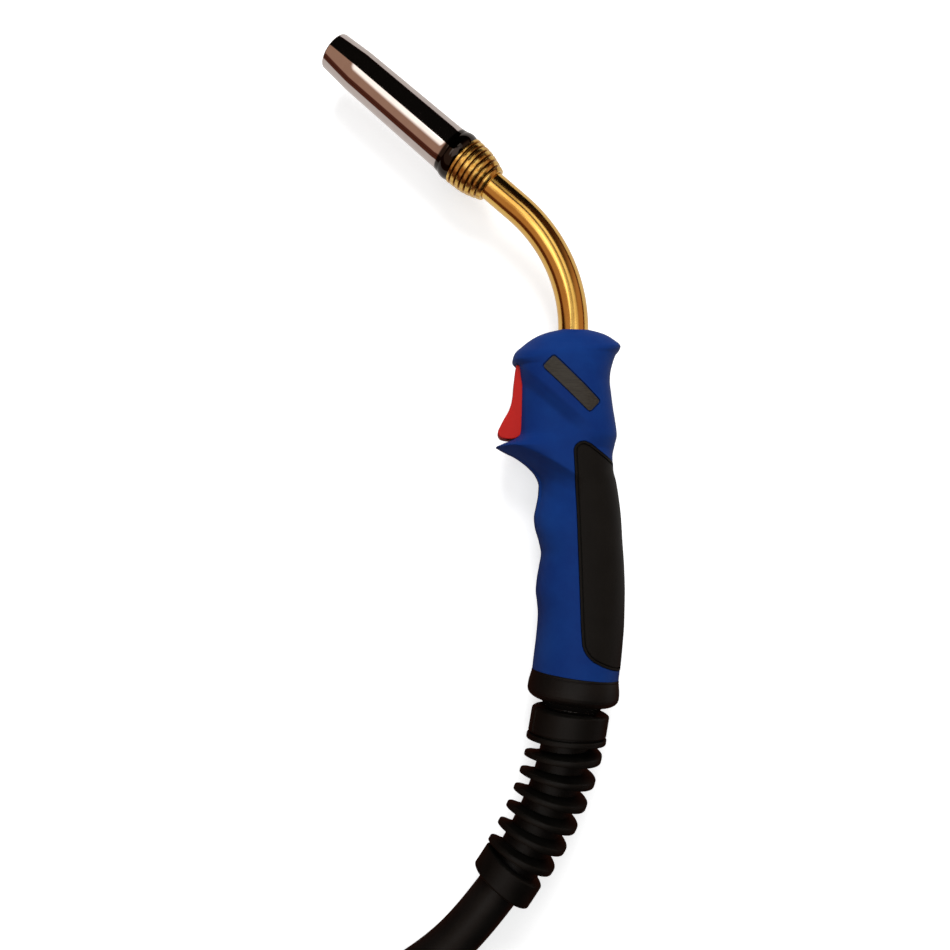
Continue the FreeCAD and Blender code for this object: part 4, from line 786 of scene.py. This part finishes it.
def section(v):
    """Middle, half depth, half width, squareness and lean of the handle's section at stations along Y."""
    front, back = smooth_curve(handle_front, v), smooth_curve(handle_back, v)
    share = np.clip((tilt_start - v) / (tilt_start - rim_middle.y), 0.0, 1.0)
    lean = rear_tilt * share * share * (3.0 - 2.0 * share)
    return (front + back) / 2.0, (back - front) / 2.0, smooth_curve(handle_width, v), smooth_curve(
        handle_square, v), lean


def bump(distance, reach):
    """Soft bell of height one that ends at a reach."""
    return np.where(np.abs(distance) < reach, 0.5 + 0.5 * np.cos(np.pi * distance / reach), 0.0)


def line_distance(x, y, start, end):
    """Signed distance from a line, positive to its right, and the place along it from 0 to 1."""
    run = np.array(end) - np.array(start)
    length = np.hypot(*run)
    along = ((x - start[0]) * run[0] + (y - start[1]) * run[1]) / length ** 2
    aside = ((x - start[0]) * run[1] - (y - start[1]) * run[0]) / length
    return aside, along


def cheek_relief(x, y):
    """Depth of the modelled relief on the handle's cheeks: the valley, the ridge and the scoop under it."""
    aside, along = line_distance(x, y, (-26.7, 150.5), (0.8, 126.7))
    step = smooth_curve([(-5.0, 0.0), (-3.4, 0.0), (0.0, 1.35), (3.4, 2.7), (9.0, 2.3), (24.0, 0.0),
                         (30.0, 0.0)], aside)
    valley = step * smooth_curve([(0.0, 1.0), (0.75, 1.0), (1.22, 0.0), (1.4, 0.0)], along)
    aside, along = line_distance(x, y, (-36.0, 119.0), (-2.5, 104.2))
    aside = aside + 1.9 * bump(along - 0.5, 0.7)
    ends = smooth_curve([(0.0, 1.0), (0.75, 0.9), (1.0, 0.6), (1.25, 0.0), (1.4, 0.0)], along)
    ridge = -0.5 * bump(np.minimum(aside, 0.0), 7.0) * np.clip(1.0 - aside / 1.5, 0.0, 1.0) * ends
    down = smooth_curve([(0.0, 0.0), (1.0, 0.6), (3.5, 2.8), (8.0, 4.6), (13.0, 4.7), (22.0, 2.8),
                         (37.0, 0.0), (40.0, 0.0)], np.maximum(aside, 0.0))
    return valley + ridge + down * ends


def surface(v, turn, inset):
    """Points of the near half of the handle's skin, set in by an amount, at stations and turns."""
    middle, half_depth, half_width, squareness, lean = section(v)
    depth, width = half_depth - inset, half_width - inset
    cosine = np.sign(np.cos(turn)) * np.abs(np.cos(turn)) ** (2.0 / squareness)
    rise = np.clip(np.sin(turn), 0.0, 1.0) ** (2.0 / squareness)
    x = middle + depth * cosine * np.cos(lean)
    y = v - depth * cosine * np.sin(lean)
    side = np.clip((rise - 0.12) / 0.36, 0.0, 1.0)
    z = width * rise - cheek_relief(x, y) * side * side * (3.0 - 2.0 * side)
    y = y - mouth_crown * z * z * np.clip((v - 160.0) / 9.0, 0.0, 1.0)
    return np.stack([x, y, z], axis=-1)


def half_grid(inset, rows, columns, seam):
    """Grid over the near half of the handle: its stations get denser round the guard, and its first row is
    drawn in to close the crowned mouth."""
    v = np.concatenate([[mouth_y], np.linspace(mouth_y, guard_top, rows // 3),
                        np.linspace(guard_top, guard_bottom, rows // 4)[1:],
                        np.linspace(guard_bottom, rim_middle.y, rows - rows // 3 - rows // 4)[1:]])
    turn = np.linspace(0.0, np.pi, columns)
    turn[0], turn[-1] = seam_edge, np.pi - seam_edge
    turn = np.concatenate([[0.0], turn, [np.pi]])
    vv, tt = np.meshgrid(v, turn, indexing="ij")
    grid = surface(vv, tt, inset + mouth_draw * (np.arange(len(v))[:, None] == 0))
    grid[:, 0, 0] -= seam
    grid[:, -1, 0] += seam
    return grid


def closed_half(grid, drop):
    """Points and faces of a closed solid under a grid, with its flat side dropped below the grid's edges."""
    rows, columns = grid.shape[:2]
    if drop:
        lowered = grid[:, [0, -1], :].copy()
        lowered[:, :, 2] -= drop
        grid = np.concatenate([lowered[:, :1], grid, lowered[:, 1:]], axis=1)
        columns += 2
    faces = []
    for i in range(rows - 1):
        a, b = i * columns, (i + 1) * columns
        faces += [(a + j, b + j, b + j + 1, a + j + 1) for j in range(columns - 1)]
        faces.append((a + columns - 1, b + columns - 1, b, a))
    faces.append(tuple(range(columns)))
    faces.append(tuple(reversed(range((rows - 1) * columns, rows * columns))))
    return grid.reshape(-1, 3), faces


def solid(name, points, faces):
    """Loose mesh object from points in millimetres, for cutting."""
    data = bpy.data.meshes.new(name)
    data.from_pydata([tuple(p) for p in points], [], faces)
    return bpy.data.objects.new(name, data)


def under_skin(name, inset, rows, columns, seam=0.0, drop=0.0):
    """Loose solid of the near half of the handle, with its skin set in by an amount."""
    return solid(name, *closed_half(half_grid(inset, rows, columns, seam), drop))


def baked(piece):
    """Puts a piece's modifiers into its mesh."""
    if piece.name not in bpy.context.scene.collection.objects:
        bpy.context.scene.collection.objects.link(piece)
    bpy.context.view_layer.update()
    result = bpy.data.meshes.new_from_object(piece.evaluated_get(bpy.context.evaluated_depsgraph_get()))
    piece.modifiers.clear()
    piece.data = result
    return piece


def carve(target, cutter, operation="DIFFERENCE", keep=False):
    """Cuts, joins or crosses one closed mesh with another, which is then dropped unless it is kept."""
    cut = target.modifiers.new("cut", "BOOLEAN")
    cut.operation = operation
    cut.solver = "MANIFOLD"
    cut.object = cutter
    baked(target)
    if not keep:
        bpy.data.objects.remove(cutter)
    return target


def copy_of(piece):
    """Loose copy of a solid."""
    twin = piece.copy()
    twin.data = piece.data.copy()
    return twin


def runs_left(outline):
    """Whether an outline goes round anticlockwise."""
    return sum(outline[i - 1][0] * outline[i][1] - outline[i][0] * outline[i - 1][1]
               for i in range(len(outline))) > 0


def prism(name, outline, low, high):
    """Upright prism over an outline."""
    count = len(outline)
    points = [(x, y, low) for x, y in outline] + [(x, y, high) for x, y in outline]
    order = list(range(count)) if runs_left(outline) else list(reversed(range(count)))
    faces = [tuple(reversed(order)), tuple(count + i for i in order)]
    for k in range(count):
        i, j = order[k], order[(k + 1) % count]
        faces.append((i, j, count + j, count + i))
    return solid(name, points, faces)


def arcs(*steps):
    """Outline from points; a step of four numbers is an arc: end x, end y, through x, y."""
    result = [steps[0][:2]]
    for step in steps[1:]:
        if len(step) == 2:
            result.append(step)
            continue
        (x1, y1), (x2, y2), (x3, y3) = result[-1], step[2:], step[:2]
        d = 2 * (x1 * (y2 - y3) + x2 * (y3 - y1) + x3 * (y1 - y2))
        s1, s2, s3 = x1 * x1 + y1 * y1, x2 * x2 + y2 * y2, x3 * x3 + y3 * y3
        cx = (s1 * (y2 - y3) + s2 * (y3 - y1) + s3 * (y1 - y2)) / d
        cy = (s1 * (x3 - x2) + s2 * (x1 - x3) + s3 * (x2 - x1)) / d
        start, via, end = (math.atan2(b - cy, a - cx) for a, b in ((x1, y1), (x2, y2), (x3, y3)))
        sweep = (end - start) % (2 * math.pi)
        if (via - start) % (2 * math.pi) > sweep:
            sweep -= 2 * math.pi
        radius = math.hypot(x1 - cx, y1 - cy)
        pieces = max(3, int(abs(sweep) * radius / 0.5))
        for i in range(1, pieces + 1):
            a = start + sweep * i / pieces
            result.append((cx + radius * math.cos(a), cy + radius * math.sin(a)))
    return result


def offset(outline, gap):
    """Outline moved outwards by a gap, or inwards if it is below zero."""
    count = len(outline)
    side = 1.0 if runs_left(outline) else -1.0
    result = []
    for i in range(count):
        (ax, ay), (bx, by), (cx, cy) = outline[i - 1], outline[i], outline[(i + 1) % count]
        into, out = Vector((bx - ax, by - ay)).normalized(), Vector((cx - bx, cy - by)).normalized()
        normal = Vector((into.y + out.y, -into.x - out.x)) * side
        reach = gap / max(0.35, normal.length / 2.0)
        result.append((bx + normal.normalized().x * reach, by + normal.normalized().y * reach))
    return result


pad_outline = arcs(
    (-2.8, 115.0), (2.4, 119.3, -1.6, 117.9), (5.0, 118.3), (9.7, 115.1), (14.1, 112.3), (18.0, 110.2),
    (30.0, 104.0), (30.0, 13.6), (19.5, 15.4), (9.5, 19.0, 14.2, 16.9), (2.2, 27.4, 4.4, 22.9), (1.6, 35.0),
    (1.0, 48.0), (0.5, 58.0), (-0.1, 70.0), (-0.8, 83.5), (-1.5, 96.5), (-2.2, 106.0))
plate_middle, plate_turn = (-4.5, 146.1), math.radians(-43.5)
plate_length, plate_width, plate_corner = 30.2, 7.2, 1.3
pad_clearance, plate_clearance = 0.42, 0.6


def plate_shape(gap):
    """Outline of the name plate: a rounded rectangle that lies along the head's slope."""
    result = []
    for cx, cy, first in ((1, 1, 0), (-1, 1, 90), (-1, -1, 180), (1, -1, 270)):
        for k in range(7):
            a = math.radians(first + 15.0 * k)
            x = cx * (plate_length / 2.0 - plate_corner) + (plate_corner + gap) * math.cos(a)
            y = cy * (plate_width / 2.0 - plate_corner) + (plate_corner + gap) * math.sin(a)
            result.append((plate_middle[0] + x * math.cos(plate_turn) - y * math.sin(plate_turn),
                           plate_middle[1] + x * math.sin(plate_turn) + y * math.cos(plate_turn)))
    return result


def round_bar(name, radius, x, y, low, high, sides=48):
    """Upright round cutting bar."""
    circle = [(x + radius * math.cos(2 * math.pi * k / sides), y + radius * math.sin(2 * math.pi * k / sides))
              for k in range(sides)]
    return prism(name, circle, low, high)


def block(name, x0, x1, y0, y1, z0, z1):
    """Cutting block."""
    return prism(name, [(x0, y0), (x1, y0), (x1, y1), (x0, y1)], z0, z1)


def ring_bar(name, radius, bore, start, end, origin, angle, sides=96):
    """Tube, or a bar where the bore is zero, about an axis in the middle plane."""
    rings = [(start, radius), (end, radius)] + ([(end, bore), (start, bore)] if bore else [])
    points = []
    for along, size in rings:
        points += ring_points(Vector(origin) + heading(angle) * along, angle, size, sides)
    return solid(name, points, ring_faces(len(rings), sides, bool(bore)))


handle_wall, mouth_gap, mouth_web = 3.0, 0.5, 3.5
slot_half_width, slot_depth_x, slot_low, slot_high = 6.3, -14.5, 121.2, 157.2
post_radius, post_reach, screw_radius, screw_pit_radius, screw_pit_floor = 4.6, 12.6, 1.75, 3.15, 9.0
pad_depth, plate_depth = 1.7, 0.9
pad_low, pad_seat_low, plate_low, above_handle = 4.6, 4.4, 2.0, 40.0
screw_places = ((11.0, 158.0), (-22.2, 113.0), (-11.6, 57.0), (-11.2, 30.0))
rear_spigot_length, rear_spigot_radius, rear_spigot_bore = 9.0, 18.8, 16.4
shell_skin = under_skin("shell_skin", 0.0, 420, 120, 0.18)
cavity = under_skin("cavity", handle_wall, 90, 30, 0.0, 1.0)
carve(cavity, block("mouth_web", -60.0, 60.0, mouth_y - mouth_web, mouth_y + 20.0, -30.0, 60.0))
for x, y in screw_places:
    carve(cavity, round_bar("screw_post", post_radius, x, y, -2.0, post_reach))
shell = carve(copy_of(shell_skin), cavity)
spigot = ring_bar("ring_spigot", rear_spigot_radius, rear_spigot_bore, rear_rim_along - rear_spigot_length,
                  rear_rim_along + 3.0, (0, 0, 0), rear_angle)
carve(spigot, block("lower_half", -40.0, 40.0, -20.0, 60.0, -40.0, 0.0))
carve(shell, spigot, "UNION")
carve(shell, ring_bar("neck_hole", neck_radius + mouth_gap, 0.0, mouth_y - 10.0, mouth_y + 10.0,
                      (neck_x, 0, 0), 90.0))
carve(shell, block("slot", -75.0, slot_depth_x, slot_low, slot_high, -1.0, slot_half_width))
carve(shell, prism("sweep", [(slot_depth_x, 119.4), (slot_depth_x, 122.0), (-34.5, 122.0), (-34.5, 119.6),
                             (-28.0, 119.6)], -1.0, slot_half_width))
pad_seat = prism("pad_seat", offset(pad_outline, pad_clearance), pad_seat_low, above_handle)
pad_floor = under_skin("pad_floor", pad_depth, 210, 60)
carve(shell, carve(pad_seat, pad_floor, keep=True))
plate_seat = prism("plate_seat", plate_shape(plate_clearance), plate_low, above_handle)
plate_floor = under_skin("plate_floor", plate_depth, 210, 60)
carve(shell, carve(plate_seat, plate_floor, keep=True))

# Blue nylon, moulded: satin with a fine spark-eroded grain, a little paler where hands have rubbed it.
blue_nylon, tree, shader = principled("moulded_blue_nylon", {"IOR": 1.53, "Specular IOR Level": 0.14})
mottle(tree, shader, 22.0, {"Detail": 6.0, "Roughness": 0.6}, ((0.3, "#092a6b"), (0.7, "#0e3679")),
       (0.58, 0.72), (0.45, 2.0, 0.22, 0.04))


def settle(piece, material, body, replaced, mirrored=False):
    """Turns a carved solid in millimetres into a finished piece in its place on a body."""
    if piece.name not in bpy.context.scene.collection.objects:
        bpy.context.scene.collection.objects.link(piece)
    data = piece.data
    data.transform(Matrix.Scale(MM, 4))
    if mirrored:
        data.transform(Matrix.Scale(-1.0, 4, (0, 0, 1)))
        data.flip_normals()
    data.transform(Matrix.Translation(rear_point))
    shade(data, material, 30.0)
    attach(piece, body)
    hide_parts(*replaced)


def settle_pair(near, far, node, made, material):
    """Settles the two like pieces of a pair on the torch: the near one, and the far one mirrored."""
    for side, piece in (("near", near), ("far", far)):
        piece.name = f"{node}_{side}_{made}"
        settle(piece, material, "torch", (f"{node}_{side}",), side == "far")


shell_far = copy_of(shell)
for x, y in screw_places:
    carve(shell_far, round_bar("screw_shaft", screw_radius, x, y, -1.0, above_handle, 32))
    carve(shell_far, round_bar("screw_pit", screw_pit_radius, x, y, screw_pit_floor, above_handle))
settle_pair(shell, shell_far, "handle_shell", "moulded", blue_nylon)

# Grip pads. Soft black rubber let into both cheeks, a little proud of them. A moulded groove follows the
# pad's edge and leaves a narrow bead outside it.
pad_rise, pad_bead, groove_width, groove_depth = 0.22, 0.8, 0.65, 1.0
pad_top = under_skin("pad_top", -pad_rise, 300, 100)
groove_floor = under_skin("groove_floor", groove_depth, 210, 60)
pad = carve(prism("pad", pad_outline, pad_low, above_handle), pad_top, "INTERSECT")
carve(pad, pad_floor)
groove = carve(prism("groove", offset(pad_outline, -pad_bead), pad_low, above_handle),
               prism("field", offset(pad_outline, -pad_bead - groove_width), 4.0, 41.0))
carve(pad, carve(groove, groove_floor))

# Thermoplastic rubber: matt black with a brown cast, fine grain and faint rubbed patches.
grip_rubber, tree, shader = principled("matt_thermoplastic_rubber", {"IOR": 1.5, "Specular IOR Level": 0.22})
mottle(tree, shader, 12.0, {"Detail": 6.0}, ((0.3, "#0b0a08"), (0.7, "#13110e")), (0.6, 0.78),
       (0.4, 2.0, 0.35, 0.05))
settle_pair(pad, copy_of(pad), "grip_pad", "moulded", grip_rubber)

# Name plates. Thin plates of brushed aluminium with rounded corners, stuck in a shallow recess on each
# cheek. They bear nothing.
plate_sink, plate_trim = 0.08, 0.02
plate_top = under_skin("plate_top", plate_sink, 300, 100)
plate = carve(prism("plate", plate_shape(-plate_trim), plate_low, above_handle), plate_top, "INTERSECT")
carve(plate, plate_floor)
bpy.data.objects.remove(shell_skin)

# Aluminium under dark grey lacquer: satin, with brushed streaks that run along the plate.
plate_metal, tree, shader = principled("lacquered_aluminium", {"IOR": 1.5, "Specular IOR Level": 0.35})
place = add_node(tree, "ShaderNodeTexCoord")
brushing = add_node(tree, "ShaderNodeMapping", {"Rotation": (0.0, 0.0, -plate_turn),
                                                "Scale": (0.06, 1.0, 1.0)},
                    {"Vector": place.outputs["Object"]})
mottle(tree, shader, 0.5, {"Detail": 4.0}, ((0.3, "#28241f"), (0.7, "#3a362f")), (0.42, 0.58),
       place=brushing.outputs[0])
settle_pair(plate, copy_of(plate), "name_plate", "bare", plate_metal)

# Trigger. Red nylon, moulded, with rounded edges and a hollow face for the finger. It hangs on a steel pin
# in the handle's slot and presses the switch behind it.
trigger_half_width, trigger_back = 5.7, -22.65
trigger_outline = arcs(
    (-29.8, 156.0), (-30.8, 145.0, -30.35, 150.5), (-33.2, 133.4, -31.3, 139.6), (-37.2, 125.6, -35.4, 129.4),
    (-34.8, 121.1, -37.2, 122.5), (-29.4, 121.2, -32.0, 120.85), (-27.0, 122.6), (-25.8, 125.0),
    (trigger_back, 127.5), (trigger_back, 146.5), (-20.7, 149.9), (-22.3, 154.9, -18.9, 153.4),
    (-26.0, 156.6))
trigger = prism("trigger_moulded", trigger_outline, -trigger_half_width, trigger_half_width)
edge = trigger.modifiers.new("rounding", "BEVEL")
edge.width = 0.9
edge.segments = 4
edge.limit_method = "ANGLE"
edge.angle_limit = math.radians(50.0)
baked(trigger)

# Red nylon, moulded: even and satin, with the same fine grain as the handle.
red_nylon, tree, shader = principled("moulded_red_nylon", {"IOR": 1.53, "Specular IOR Level": 0.2})
mottle(tree, shader, 8.0, {"Detail": 5.0}, ((0.0, "#b21a16"), (1.0, "#c6231d")), (0.44, 0.58),
       (0.45, 2.0, 0.2, 0.04))
settle(trigger, red_nylon, "trigger", ("trigger",))


def clothe(material, *nodes):
    """Gives pieces of the frame their finish."""
    for node in nodes:
        shade(frame["nodes"][node].data, material, 30.0)


# Pieces inside. They show only when the nozzle is off or through the trigger's slot: a copper tip in its
# brass holder, a ceramic diffuser, zinc-plated steel screws, pins and springs, and the union in the handle.
# Drawn copper, machined brass and zinc-plated steel: bright, with tool marks about a millimetre apart.
worked_metals = []
for name, width, dark, light, dull in (
        ("drawn_copper", 1.5, "#a8603c", "#cf8a5e", (0.2, 0.36)),
        ("machined_brass", 1.2, "#b98a3c", "#dcb565", (0.2, 0.36)),
        ("zinc_plated_steel", 1.0, "#8d9093", "#b9bcbe", (0.24, 0.4))):
    metal, tree, shader = principled(name, {"Metallic": 1.0})
    mottle(tree, shader, width, {"Detail": 5.0}, ((0.0, dark), (1.0, light)), dull, (width, 5.0, 0.15, 0.03))
    worked_metals.append(metal)
tip_copper, bar_brass, zinc_steel = worked_metals
clothe(tip_copper, "contact_tip", "neck_core_tube", "crimp_sleeve", "cable_core")
clothe(bar_brass, "tip_holder", "union_nut", "union_block", "plug_body", "gas_tube", "control_barrels",
       "control_pin_left", "control_pin_right")
clothe(zinc_steel, "nozzle_spring", "handle_screws", "trigger_pin", "wire_liner", "plug_screws")

# Alumina, fired and unglazed: chalky, off-white and a little sooty.
ceramic, tree, shader = principled("unglazed_alumina", {"Roughness": 0.7, "IOR": 1.76})
mottle(tree, shader, 4.0, {"Detail": 6.0}, ((0.0, "#c9c2b4"), (1.0, "#efebe2")))
clothe(ceramic, "gas_diffuser")
clothe(bush_polymer, "neck_insulation")
clothe(ring_nylon, "switch_case", "switch_wires")
clothe(red_nylon, "switch_plunger")

# Plug at the far end. Two black nylon shells hold a brass body in an insulating disc; a knurled hand nut
# turns on their neck, and a rubber boot carries the cable in.
clothe(boot_rubber, "plug_boot", "seal_ring")
clothe(cable_sheath, "plug_cable_end")
clothe(ball_nylon, "plug_flange")
clothe(ring_nylon, "plug_shell_left", "plug_shell_right", "hand_nut")
